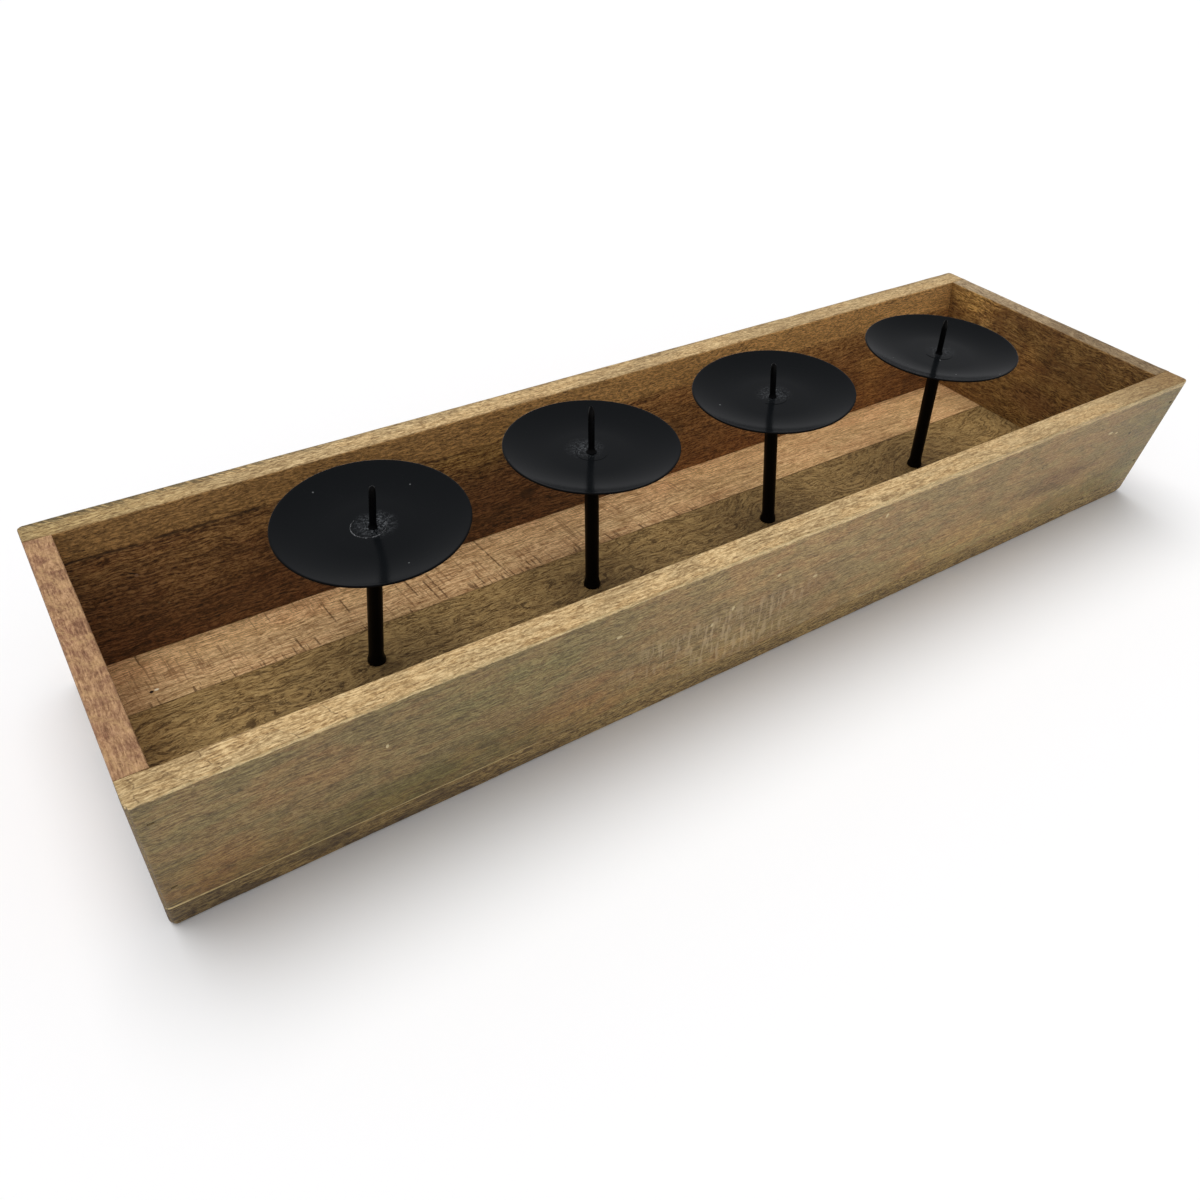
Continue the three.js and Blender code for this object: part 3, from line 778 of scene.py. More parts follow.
def floor_saw_marks(n, x, y, drift):
    """Masks for the saw's fine lines in patches, its deep cuts, and short ticks beside the seam."""
    bowed = x + y * 0.06
    fine = n.face_noise(bowed, y, 1.0, (0.75, 0.03), detail=3, roughness=0.65)
    coarse = n.face_noise(bowed, y, 6.0, (0.24, 0.02), detail=3, roughness=0.7)
    ragged = n.face_noise(x, y, 2.0, (0.9, 0.3), detail=2)
    to_left = n.ramp(x, 130, 30, 0.15, 1.0)
    fine_lines = n.ramp(fine, 0.53, 0.64) * n.ramp(drift, 0.4, 0.56) * to_left
    seam_side = n.ramp(y, 36 + ragged * 12, 30, 0.0, 1.0)
    ticks = n.ramp(n.face_noise(bowed, y, 14.0, (0.5, 0.05), detail=2), 0.56, 0.6)
    ticks = ticks * seam_side * n.ramp(coarse, 0.48, 0.54) * n.ramp(x, 110, 20)
    return fine_lines, saw_cuts(n, bowed, y, ragged), ticks


def growth_rings(n, x, y, drift):
    """Faint wavy rings in the middle of the back floor board."""
    swell = n.math("COSINE", x * 0.018) * 7
    wave = y + swell + drift * 8
    ring = n.ramp(n.math("SINE", wave * 0.5), 0.86, 1.0)
    return ring * window(n, x, -40, 110, 20) * n.ramp(drift, 0.35, 0.55, 0.3, 1.0)


def floor_back_tones_with_painted_light_and_shade(n, x, y, colour):
    """Painted shade by the left end, darker by the seam, and painted light by the back board and to the
    right.
    """
    # Painted shade: darker beside the left end board.
    colour = tinted(n, n.ramp(x, -262, -284), colour, (0.86, 0.78, 0.74))
    by_seam = n.ramp(y, 40, 30, 0.0, n.ramp(x, 0, 60, 1.0, 0.35))
    colour = tinted(n, by_seam, colour, (0.84, 0.82, 0.8))
    # Painted light: a lighter band along the back board, over where its shadow falls.
    colour = tinted(n, n.ramp(y, 44, 62), colour, (1.34, 1.3, 1.28))
    # Painted light: lighter to the right, where the plates and the walls shade the floor less.
    return tinted(n, n.ramp(x, 0, 60), colour, (1.12, 1.1, 1.06))


def floor_back_marks_with_painted_light_and_shade(n, place, facing, grain, colour, height):
    """The back floor board's tones with painted light and shade, its saw marks and growth rings, with a
    pinhole and its bright lip.
    """
    x, y, _ = place
    drift = n.face_noise(x, y, 8.0, (0.04, 0.05), detail=2)
    fine_lines, deep_cuts, ticks = floor_saw_marks(n, x, y, drift)
    colour = n.blend(fine_lines * 0.62, colour, tone(132, 95, 61))
    colour = n.blend(n.larger(deep_cuts, ticks) * 0.75, colour, tone(84, 56, 30))
    colour = n.blend(growth_rings(n, x, y, drift) * 0.28, colour, tone(124, 88, 56))
    colour = floor_back_tones_with_painted_light_and_shade(n, x, y, colour)
    on_top = n.ramp(facing[2], 0.5, 0.8)
    hole = spot(n, x, y, (-272.8, 39.5), (1.0, 0.9)) * on_top
    lip = spot(n, x, y, (-270.4, 39.9), (1.1, 0.7)) * on_top
    colour = n.blend(hole, colour, tone(34, 24, 16))
    colour = n.blend(lip, colour, tone(250, 236, 206))
    cut = fine_lines * -0.06 - deep_cuts * 0.12 - ticks * 0.12
    return colour, height + cut - hole * 0.3


def floor_middle_marks_and_painted_shade(n, place, facing, grain, colour, height):
    """Wavy dark and golden streaks, curled like a feather to the right, and painted shade beside the left
    end board.
    """
    x, y, _ = place
    slow = n.centred(n.face_noise(x, y, 4.0, (0.02, 0.05), detail=3))
    curl = n.math("SINE", x * 0.055) * n.ramp(x, -30, 60, 0.12, 0.85) * 14
    swept = y + slow * 40 + curl
    fibres = n.face_noise(x, swept, 5.0, (0.045, 0.6), detail=5, roughness=0.7)
    crest = n.face_noise(x, swept, 11.0, (0.2, 0.28), detail=3, roughness=0.6, distortion=0.6)
    strength = n.ramp(x, -60, 140, 1.0, 0.85)
    dark = n.ramp(fibres, 0.53, 0.59) * 0.68 * strength
    colour = n.blend(dark, colour, tone(68, 48, 25))
    golden = n.ramp(fibres, 0.46, 0.4) * 0.5 * strength
    colour = n.blend(golden, colour, tone(188, 154, 98))
    colour = n.blend(n.ramp(crest, 0.52, 0.6) * 0.4, colour, tone(172, 142, 90))
    # Painted shade: darker beside the left end board.
    colour = tinted(n, n.ramp(x, -262, -284), colour, (0.94, 0.88, 0.82))
    beside_seam = n.ramp(y, SEAM_ACROSS - 1.2, SEAM_ACROSS - 0.3)
    colour = tinted(n, beside_seam, colour, (0.6, 0.56, 0.52))
    return colour, height + n.ramp(fibres, 0.53, 0.64) * -0.08


def floor_front_marks(n, place, facing, grain, colour, height):
    """The dark, unevenly waxed edge under the front board."""
    x, _, z = place
    smear = n.face_noise(x, z, 2.0, (0.04, 0.16), detail=3)
    dark = n.ramp(smear, 0.48, 0.6) * n.ramp(x, -60, -200, 0.12, 1.0)
    colour = tinted(n, n.ramp(x, -60, -200), colour, (0.72, 0.7, 0.66))
    colour = tinted(n, n.ramp(x, -250, -292), colour, (0.62, 0.62, 0.66))
    colour = n.blend(dark * 0.45, colour, tone(60, 44, 26))
    return tinted(n, n.ramp(x, 200, 300), colour, (1.0, 1.06, 1.2)), height


def right_end_marks(n, place, facing, grain, colour, height):
    """Mottled brown wood, golden by the back corner, with dark clouds."""
    _, y, z = place
    cloud_place = n.join(0.0, y * 0.05, z * 0.07)
    cloud = n.noise(cloud_place, detail=5, roughness=0.65, distortion=0.8)
    lump_place = n.join(0.0, y * 0.16, z * 0.3)
    lumps = n.noise(lump_place, detail=4, roughness=0.65, distortion=0.5)
    colour = washes(n, colour, y * -1.0, z, RIGHT_END_WASHES, 8.0)
    colour = n.blend(n.ramp(cloud, 0.5, 0.62) * 0.45, colour, tone(150, 108, 60))
    colour = n.blend(n.ramp(lumps, 0.54, 0.66) * 0.5, colour, tone(62, 40, 22))
    colour = n.blend(n.ramp(lumps, 0.44, 0.34) * 0.4, colour, tone(148, 110, 66))
    return colour, height + lumps * 0.1


def left_rim_marks(n, place, colour):
    """Pale golden bands of curl over the left end's rim, made of fine crumbly streaks."""
    x, y, _ = place
    bend = n.centred(n.face_noise(x, y, 1.0, (0.1, 0.03), detail=3))
    turns = y * 0.052 + (x + 294) * 0.05 + bend * 2.2
    wave = n.sine(turns)
    slanted = y + x * 1.1
    crumbs = n.face_noise(x, slanted, 3.0, (0.7, 0.8), detail=3, roughness=0.7)
    pale = n.ramp(wave, 0.25, 0.95) * n.ramp(crumbs, 0.42, 0.6, 0.15, 1.0)
    colour = n.blend(pale * 0.55, colour, tone(198, 160, 112))
    deep = n.ramp(wave, -0.3, -0.95) * n.ramp(crumbs, 0.5, 0.4)
    return n.blend(deep * 0.3, colour, tone(118, 76, 54)), crumbs * 0.05


def right_rim_marks(n, place, colour):
    """The right end's rim, browner towards the front."""
    x, y, _ = place
    cloud = n.noise(n.join(0.0, y * 0.08, x * 0.2), detail=3)
    return tinted(n, n.ramp(y, 22, -18), colour, (0.66, 0.63, 0.58)), cloud * 0.05


# Places on the boards, in millimetres. Washes and chips have a middle and a half size; washes also have
# a colour ratio.
SEAM_HEIGHT = WALL_FOOT / MM  # between the front board and the floor
SEAM_ACROSS = MIDDLE_HALF / MM  # behind the middle floor board
# A cut's place along the tray, and its near and its far end
SAW_CUTS = (
    (-269, 58, 82),
    (-201, 30, 41),
    (-193, 30, 37),
    (-179, 42, 60),
    (-170, 46, 58),
    (-135, 40, 64),
    (-127, 32, 50),
    (-123, 30, 54),
    (-101, 30, 42),
    (-86, 30, 84),
    (-72, 30, 38),
    (-69, 30, 37),
    (-66, 30, 39),
    (-41, 30, 36),
    (-12, 56, 70),
)
FRONT_WASHES = (
    ((-20, 72), (75, 14), (1.12, 1.1, 1.08)),
    ((-70, 20), (80, 10), (1.2, 1.2, 1.16)),
    ((120, 26), (40, 12), (1.1, 1.06, 1.0)),
    ((0, 42), (34, 9), (0.86, 0.84, 0.86)),
    ((-158, 28), (36, 10), (0.9, 0.92, 0.86)),
    ((208, 42), (28, 9), (0.72, 0.68, 0.7)),
    ((98, 17), (14, 4), (0.8, 0.72, 0.7)),
    ((232, 20), (46, 8), (0.8, 0.82, 0.76)),
    ((-272, 26), (26, 14), (1.16, 1.02, 0.96)),
    ((-238, 58), (18, 16), (1.12, 1.0, 0.98)),
    ((-118, 28), (28, 16), (1.14, 1.0, 0.94)),
    ((-204, 22), (30, 10), (0.9, 0.98, 0.84)),
    ((-150, 62), (34, 14), (0.96, 1.04, 1.0)),
)
FRONT_CHIPS = (
    ((-208, 57.5), (0.7, 1.2)),
    ((-101, 65), (1.6, 0.9)),
    ((-10, 61.5), (1.2, 1.0)),
    ((17, 49), (1.6, 0.9)),
    ((-35, 51), (0.9, 1.6)),
    ((-46, 45), (0.9, 1.3)),
    ((56, 73), (0.9, 1.4)),
    ((241, 64), (2.2, 0.8)),
    ((248, 62), (1.2, 0.7)),
)
FRONT_DARK_SPECKS = (((265, 56.5), (1.3, 1.0)), ((184, 58), (0.8, 0.5)))
# A crack's place along the rim, and how far it slants
RIM_CRACKS = ((-295, 0.1), (-284, 0.9), (-271, 0.5), (-246, 0.8), (-226, 0.4))
BACK_WASHES = (
    ((-232, 44), (22, 12), (1.26, 1.34, 1.34)),
    ((-84, 60), (26, 10), (1.1, 1.2, 1.1)),
    ((218, 34), (16, 18), (1.24, 1.3, 1.2)),
    ((262, 22), (12, 8), (0.7, 0.7, 0.74)),
    ((46, 40), (8, 6), (0.76, 0.8, 0.86)),
)
RIGHT_END_WASHES = (
    ((-58, 78), (22, 12), (2.0, 2.1, 2.0)),
    ((-38, 66), (18, 8), (1.25, 1.3, 1.4)),
    ((-4, 56), (12, 12), (1.22, 1.16, 1.12)),
    ((28, 62), (22, 8), (0.86, 0.86, 0.9)),
    ((8, 34), (18, 9), (0.8, 0.72, 0.78)),
)
STRAW_RIM = (tone(164, 134, 90), tone(193, 163, 115), tone(210, 182, 134), tone(199, 164, 112))

# The front face's tones are partly the wood's own olive-brown and partly painted shade: it is the same
# wood as its straw rim, made darker as if in less light.
FRONT_LOOK = WoodLook(
    deep=tone(112, 91, 53),
    body=tone(128, 111, 68),
    light=tone(152, 133, 85),
    patch=tone(137, 107, 64),
    shift=(0.0, 12.0, 0.0),
    lies="wall",
    patch_size=(0.045, 0.11),
    patch_share=0.5,
    rim=STRAW_RIM,
    end=tone(120, 96, 64),
    flecks=0.16,
    pores=0.16,
    mottle=0.34,
    contrast=0.95,
    far_contrast=0.68,
    saw=0.12,
    saw_cover=0.5,
    marks=front_board_marks,
    rim_marks=front_rim_marks,
)
BACK_LOOK = WoodLook(
    deep=tone(95, 63, 34),
    body=tone(134, 95, 54),
    light=tone(164, 120, 72),
    patch=tone(119, 78, 43),
    shift=(310.0, 40.0, 15.0),
    lies="wall",
    contrast=1.6,
    far_contrast=1.3,
    flecks=0.25,
    pores=0.25,
    mottle=0.36,
    rim=STRAW_RIM,
    end=tone(112, 84, 54),
    saw=0.05,
    marks=back_board_marks_and_painted_shade,
    rim_marks=back_rim_marks_and_painted_shade,
)
LEFT_END_LOOK = WoodLook(
    deep=tone(115, 79, 54),
    body=tone(137, 99, 71),
    light=tone(165, 127, 89),
    patch=tone(135, 92, 66),
    shift=(20.0, 300.0, 15.0),
    rim=(tone(134, 94, 68), tone(155, 115, 85), tone(183, 144, 104), tone(149, 105, 78)),
    lies="end",
    ripple=0.65,
    curl=0.3,
    saw_cover=0.15,
    flecks=0.2,
    rim_flecks=0.12,
    pores=0.12,
    rim_contrast=0.8,
    rim_marks=left_rim_marks,
)
RIGHT_END_LOOK = WoodLook(
    deep=tone(102, 71, 37),
    body=tone(143, 107, 59),
    light=tone(173, 134, 76),
    patch=tone(120, 82, 45),
    shift=(500.0, 90.0, 40.0),
    rim=(tone(132, 110, 82), tone(160, 138, 106), tone(186, 162, 126), tone(150, 126, 94)),
    lies="end",
    ripple=0.3,
    curl=0.6,
    marks=right_end_marks,
    rim_marks=right_rim_marks,
)
FLOOR_FRONT_LOOK = WoodLook(
    deep=tone(115, 91, 52),
    body=tone(154, 126, 75),
    light=tone(180, 150, 92),
    patch=tone(141, 113, 67),
    shift=(700.0, 10.0, 60.0),
    end=tone(88, 66, 42),
    marks=floor_front_marks,
)
FLOOR_MIDDLE_LOOK = WoodLook(
    deep=tone(96, 72, 40),
    body=tone(138, 111, 67),
    light=tone(168, 138, 89),
    patch=tone(127, 99, 58),
    shift=(900.0, 0.0, 80.0),
    end=tone(100, 76, 48),
    curl=0.9,
    curl_length=18.0,
    contrast=1.4,
    far_contrast=1.0,
    mottle=0.2,
    flecks=0.3,
    pores=0.3,
    ripple=0.15,
    marks=floor_middle_marks_and_painted_shade,
)
FLOOR_BACK_LOOK = WoodLook(
    deep=tone(173, 134, 91),
    body=tone(205, 167, 116),
    light=tone(227, 191, 140),
    patch=tone(197, 152, 106),
    shift=(1200.0, 0.0, 100.0),
    end=tone(140, 108, 74),
    saw_cover=0.6,
    mottle=0.22,
    contrast=1.2,
    far_contrast=0.8,
    flecks=0.22,
    pores=0.25,
    marks=floor_back_marks_with_painted_light_and_shade,
)


def weld_haze(n, place, colour, rough):
    """The grey haze that welding left on a plate, and painted shade that darkens the rounded edge of the
    plate's rim.
    """
    scratches = n.noise(n.scaled(place, 0.7), detail=5, roughness=0.8, distortion=1.2)
    near = n.ramp(n.stored("haze_distance"), 11.5, 2.5)
    haze = near * n.ramp(scratches, 0.46, 0.68) * n.stored("weld_haze")
    colour = n.blend(haze * 0.8, colour, tone(116, 119, 122))
    # Painted shade: the rounded outer edge of the rim is darkened, as if turned away from the light.
    colour = n.blend(n.ramp(n.stored("middle_distance"), 42.9, 43.2), colour, tone(5, 5, 6))
    return colour, rough + haze * 0.3


def black_finish(name, body, roughness, haze_and_painted_rim_shade=False):
    """Satin black paint on steel, with scuffs and dust."""
    material, n, shader, place = new_finish(name)
    coat = n.use(COAT, Vector=place)
    dust = n.use(SPECKS, Vector=place, Spacing=8.0, Size=0.6, Share=0.25)["Mask"]
    colour = n.blend(coat["Scuffs"] * 0.12, body, tone(52, 54, 56))
    colour = n.blend(dust * 0.6, colour, tone(120, 122, 122))
    rough = roughness + coat["Scuffs"] * 0.12 + dust * 0.2
    if haze_and_painted_rim_shade:
        colour, rough = weld_haze(n, place, colour, rough)
    shader.inputs["Specular IOR Level"].default_value = 0.1
    set_surface(n, shader, colour, n.smaller(rough, 1.0), coat["Height"], 0.02 * MM, 0.5)
    return material


def steel_finish(name, bright, dull, roughness):
    """Bare or zinc-plated steel, stained here and there."""
    material, n, shader, place = new_finish(name)
    stains = n.noise(n.scaled(place, 0.6), detail=4, roughness=0.65)
    brushed = n.stretched_noise(place, (0.4, 6.0, 6.0), detail=2)
    colour = n.blend(n.ramp(stains, 0.42, 0.62), bright, dull)
    rough = roughness + n.ramp(stains, 0.4, 0.65, 0.0, 0.25)
    shader.inputs["Metallic"].default_value = 0.9
    set_surface(n, shader, colour, rough, brushed, 0.02 * MM, 0.6)
    return material


def weld_finish():
    """The grey, crumbly bead round a spike."""
    material, n, shader, place = new_finish("weld bead")
    lumps = n.noise(n.scaled(place, 1.1), detail=4, roughness=0.7)
    colour = n.blend(n.ramp(lumps, 0.48, 0.62), tone(30, 31, 33), tone(128, 129, 131))
    rough = n.ramp(lumps, 0.4, 0.65, 0.45, 0.75)
    set_surface(n, shader, colour, rough, lumps, 0.2 * MM, 0.8)
    return material


# Boards


def outer_half(height):
    """How far a long board's outer face is from the tray's middle line at this height."""
    return BASE_HALF_WIDTH + SIDE_LEAN * height


def inner_half(height):
    """The same for its inner face."""
    return outer_half(height) - SIDE_THICKNESS


def stations(low, high, spacing, low_rows, high_rows):
    """Places from low to high: close rows at these distances from the two ends, even rows between."""
    first = low + low_rows[-1]
    last = high - high_rows[-1]
    count = max(1, math.ceil((last - first) / spacing))
    middle = np.linspace(first, last, count + 1)
    ends = [low + row for row in low_rows[:-1]]
    far_ends = [high - row for row in reversed(high_rows[:-1])]
    return np.concatenate([ends, middle, far_ends])


def shell(*rows):
    """A closed box of quads with its points at the given rows; returns points and faces."""
    counts = [len(row) for row in rows]
    numbers, points, faces = {}, [], []

    def point(key):
        if key not in numbers:
            numbers[key] = len(points)
            points.append([row[index] for row, index in zip(rows, key)])
        return numbers[key]

    for axis in range(3):
        second, third = (axis + 1) % 3, (axis + 2) % 3
        for side in (0, counts[axis] - 1):
            for p in range(counts[second] - 1):
                for q in range(counts[third] - 1):
                    corners = [(p, q), (p + 1, q), (p + 1, q + 1), (p, q + 1)]
                    face = []
                    for a, b in corners if side else reversed(corners):
                        key = [0, 0, 0]
                        key[axis], key[second], key[third] = side, a, b
                        face.append(point(tuple(key)))
                    faces.append(face)
    return np.array(points), faces


def face_distances(points, low, high):
    """How far each point is from the box's six faces: low then high along each axis."""
    return np.stack([points - low, high - points], axis=2).reshape(len(points), 6)


def uneven(points, size, seed):
    """Smooth noise from -1 to 1 over the points, with features of about this size."""
    offset = Vector((seed * 7.3, seed * 3.1, seed * 5.7))
    return np.array([noise.noise(Vector(point) / size + offset) for point in points])


def round_edges(points, low, high, ease, wear):
    """Rounds the box's edges. Each edge has the smaller ease of its two faces, worn unevenly."""
    distances = face_distances(points, low, high)
    radius = (ease + 0.5 * distances).min(axis=1) * wear
    radius = np.minimum(radius, (high - low).min() * 0.45)[:, None]
    core = np.clip(points, low + radius, high - radius)
    offset = points - core
    length = np.linalg.norm(offset, axis=1, keepdims=True)
    return core + offset * radius / np.maximum(length, 1e-12)


def round_column(points, axes, corner, inwards, radius):
    """Bends the square column at a corner of the box, seen along its third axis, into a round one."""
    sides = list(zip(axes, corner, inwards))
    first, second = (radius - (points[:, axis] - at) * way for axis, at, way in sides)
    inside = (first > 1e-9) & (second > 1e-9)
    u, v = first[inside], second[inside]
    reach = np.maximum(u, v)
    angle = np.where(u >= v, math.pi / 4 * v / reach, math.pi / 2 - math.pi / 4 * u / reach)
    for (axis, at, way), moved in zip(sides, (reach * np.cos(angle), reach * np.sin(angle))):
        points[inside, axis] = at + (radius - moved) * way
    return points


def board_mesh(name, low, high, rows, ease, columns, place, seed):
    """A board with eased, slightly worn edges. It is shaped as a straight block, and place puts it where
    it goes. For each of its axes, rows are the spacing and the close rows at both ends. The mesh keeps
    each point's distance to the nearest edge, in millimetres."""
    points, faces = shell(*[stations(*ends, *plan) for *ends, plan in zip(low, high, rows)])
    low, high = np.array(low), np.array(high)
    edge_distance = np.partition(face_distances(points, low, high), 1, axis=1)[:, 1] / MM
    rubbed = 0.35 * uneven(points, 30 * MM, seed)
    dented = 1.1 * np.maximum(uneven(points, 9 * MM, seed + 1) - 0.32, 0)
    wear = 1 + rubbed + dented
    points = round_edges(points, low, high, ease(points), wear)
    for column in columns:
        points = round_column(points, *column)
    mesh = bpy.data.meshes.new(name)
    mesh.from_pydata(place(points).tolist(), [], faces)
    attribute = mesh.attributes.new("edge_distance", "FLOAT", "POINT")
    attribute.data.foreach_set("value", edge_distance.astype(np.float32))
    return mesh


def simple_mesh(name, operation, **settings):
    """A mesh made by a single operation."""
    mesh = bpy.data.meshes.new(name)
    shape = bmesh.new()
    operation(shape, **settings)
    shape.to_mesh(mesh)
    shape.free()
    return mesh


SHARP_ANGLE = math.radians(38)
MERGE_DISTANCE = 0.0005 * MM


def settled(mesh):
    """Merges doubles, turns the faces outwards, and smooths all but the sharp edges."""
    shape = bmesh.new()
    shape.from_mesh(mesh)
    bmesh.ops.remove_doubles(shape, verts=shape.verts, dist=MERGE_DISTANCE)
    bmesh.ops.recalc_face_normals(shape, faces=shape.faces)
    shape.to_mesh(mesh)
    shape.free()
    mesh.polygons.foreach_set("use_smooth", [True] * len(mesh.polygons))
    mesh.set_sharp_from_angle(angle=SHARP_ANGLE)
    return mesh


def new_object(name, data):
    """An object in the scene that shows a mesh, a light or a camera."""
    made = bpy.data.objects.new(name, data)
    bpy.context.scene.collection.objects.link(made)
    return made


def new_piece(name, mesh, material, nodes):
    """Links a finished mesh, with its finish, on the tray's body."""
    mesh.materials.clear()
    mesh.materials.append(material)
    piece = new_object(name, mesh)
    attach(piece, "root")
    if nodes:
        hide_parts(*nodes)


def cut_out(mesh, cutters):
    """The mesh less the cutters, which are closed meshes."""
    joined = bmesh.new()
    for cutter in cutters:
        joined.from_mesh(cutter)
    tool_mesh = bpy.data.meshes.new("cutters")
    joined.to_mesh(tool_mesh)
    joined.free()
    tool = new_object("cutters", tool_mesh)
    body = new_object("body", mesh)
    modifier = body.modifiers.new("cut", "BOOLEAN")
    modifier.operation = "DIFFERENCE"
    modifier.solver = "EXACT"
    modifier.object = tool
    graph = bpy.context.evaluated_depsgraph_get()
    result = bpy.data.meshes.new_from_object(body.evaluated_get(graph))
    bpy.data.objects.remove(tool)
    bpy.data.objects.remove(body)
    return result


ROUND = (0.0, 0.38, 0.7, 1.0, 1.5)  # rows over a rounded edge, as shares of its ease
# Close rows by an end of a board, and by an end of the floor, whose bottom corners are rounded
END_ROWS = [row * MM for row in (0, 0.3, 0.6, 0.85, 1.3, 1.9, 2.5, 3.4)]
FOOT_END_ROWS = [row * MM for row in (0, 0.3, 0.6, 0.85, 1.3, 1.9, 2.5, 3.4, 4.5, 5.7, 7.0, 8.5)]
ALONG_SPACING = 5 * MM
ACROSS_SPACING = 6 * MM
FLOOR_SPACING = 2 * MM  # up through a floor board
RECESS_ROOM = 0.12 * MM  # across a brad's head, both sides together
RECESS_FLOOR = 0.05 * MM  # under the head
RECESS_PAST = 1.5 * MM  # how far a recess's cutter stands out of the board
WASHER_ROOM = 0.3 * MM  # round a washer in its counterbore
DRILL_PAST = 5 * MM  # how far a drill starts below the floor


def rows_for(ease):
    """The rows over a rounded edge."""
    return [ease * share for share in ROUND]


def eases(*values):
    """The ease towards each of a block's six faces, the same all over."""
    return lambda points: np.tile(np.array(values, float), (len(points), 1))


def brad_nodes(prefix):
    """The names of the brads that start like this, in order."""
    return sorted(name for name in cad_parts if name.startswith(prefix))


def node_points(name):
    """The corner points of a CAD node, each once."""
    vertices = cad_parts[name].data.vertices
    places = {tuple(round(value, 7) for value in vertex.co) for vertex in vertices}
    return np.array(sorted(places))


def brad_recess(name, outward):
    """The shape of the hole over a brad's head, from the brad's own points and the way it looks."""
    out = Vector(outward).normalized()
    points = node_points(name)
    heights = points @ np.array(out)
    top = Vector(points[heights > heights.max() - 0.1 * MM].mean(axis=0))
    along = Vector((1, 0, 0))
    turn = Matrix((along, out.cross(along), out)).transposed().to_4x4()
    depth = BRAD_SET + BRAD_HEAD_DEPTH + RECESS_PAST
    middle = top + out * (depth / 2 - BRAD_HEAD_DEPTH - RECESS_FLOOR)
    size = Matrix.Diagonal((BRAD_HEAD[0] + RECESS_ROOM, BRAD_HEAD[1] + RECESS_ROOM, depth, 1.0))
    place = Matrix.Translation(middle) @ turn @ size
    return simple_mesh("recess", bmesh.ops.create_cube, size=1.0, matrix=place)


def upright_corners():
    """The rounded upright corners at the two ends of an outer board."""
    return [((0, 1), (end * TRAY_HALF, 0), (-end, 1), CORNER_RADIUS) for end in (-1, 1)]


def foot_corners():
    """The rounded bottom corners of the floor, seen from the front."""
    left = ((0, 2), (-TRAY_HALF, 0), (1, 1), LEFT_FOOT_RADIUS)
    right = ((0, 2), (TRAY_HALF, 0), (-1, 1), RIGHT_FOOT_RADIUS)
    return [left, right]


def long_board(label, side, look, seed):
    """The front board, on side -1, or the back board, on side 1."""
    name = f"{label}_board_planed"
    low = (-TRAY_HALF, 0, WALL_FOOT)
    high = (TRAY_HALF, SIDE_THICKNESS, RIM_TOP)
    rows = (
        (ALONG_SPACING, END_ROWS, END_ROWS),
        (ACROSS_SPACING, END_ROWS[:-1], rows_for(RIM_EASE)),
        (ACROSS_SPACING, rows_for(SEAM_EASE), rows_for(RIM_EASE)),
    )

    def ease(points):
        towards_faces = [ARRIS_EASE, ARRIS_EASE, RIM_EASE, RIM_EASE, SEAM_EASE, RIM_EASE]
        values = np.tile(towards_faces, (len(points), 1))
        beside_end = np.abs(points[:, 0]) > TRAY_HALF - END_THICKNESS - 0.5 * MM
        values[beside_end, 3] = SEAM_EASE
        return values

    def place(points):
        x, depth, z = points.T
        return np.stack([x, side * (outer_half(z) - depth), z], axis=1)

    mesh = board_mesh(name, low, high, rows, ease, upright_corners(), place, seed)
    holes = [brad_recess(brad, (0, side, -SIDE_LEAN)) for brad in brad_nodes(f"brad_{label}_")]
    finish = wood(f"{label} board wood", look)
    new_piece(name, settled(cut_out(mesh, holes)), finish, [f"{label}_board"])


def end_board(label, end, look, seed):
    """The left end, at end -1, or the right end, at end 1. Its sides are cut to the boards' lean."""
    name = f"{label}_end_planed"
    reach = inner_half(RIM_TOP) - GLUE_LINE
    low = (-reach, 0, WALL_FOOT)
    high = (reach, END_THICKNESS, RIM_TOP)
    rows = (
        (ALONG_SPACING, rows_for(SEAM_EASE), rows_for(SEAM_EASE)),
        (ACROSS_SPACING, rows_for(RIM_EASE), rows_for(RIM_EASE)),
        (ACROSS_SPACING, rows_for(SEAM_EASE), rows_for(RIM_EASE)),
    )

    def place(points):
        along, depth, z = points.T
        y = along / reach * (inner_half(z) - GLUE_LINE)
        return np.stack([end * (TRAY_HALF - depth), y, z], axis=1)

    ease = eases(SEAM_EASE, SEAM_EASE, RIM_EASE, RIM_EASE, SEAM_EASE, RIM_EASE)
    mesh = board_mesh(name, low, high, rows, ease, [], place, seed)
    finish = wood(f"{label} end wood", look)
    new_piece(name, settled(mesh), finish, [f"{label}_end_board"])


def outer_floor_board(label, side, look, seed):
    """The floor board under the front board, on side -1, or under the back board, on side 1."""
    name = f"floor_{label}_planed"
    seam = MIDDLE_HALF + GLUE_LINE
    width = outer_half(FLOOR_TOP) - seam
    low = (-TRAY_HALF, 0, 0)
    high = (TRAY_HALF, width, FLOOR_TOP)
    rows = (
        (ALONG_SPACING, FOOT_END_ROWS, FOOT_END_ROWS),
        (ACROSS_SPACING, END_ROWS, rows_for(SEAM_EASE)),
        (FLOOR_SPACING, rows_for(FOOT_EASE), rows_for(SEAM_EASE)),
    )

    def place(points):
        x, depth, z = points.T
        y = side * (seam + (1 - depth / width) * (outer_half(z) - seam))
        return np.stack([x, y, z], axis=1)

    ease = eases(ARRIS_EASE, ARRIS_EASE, FOOT_EASE, SEAM_EASE, FOOT_EASE, SEAM_EASE)
    corners = foot_corners() + upright_corners()
    mesh = board_mesh(name, low, high, rows, ease, corners, place, seed)
    brads = brad_nodes(f"brad_floor_{label}_") + [f"brad_floor_{end}_{label}" for end in ("left", "right")]
    holes = [brad_recess(brad, (0, 0, -1)) for brad in brads]
    finish = wood(f"floor {label} wood", look)
    node = f"floor_board_{label}"
    new_piece(name, settled(cut_out(mesh, holes)), finish, [node])


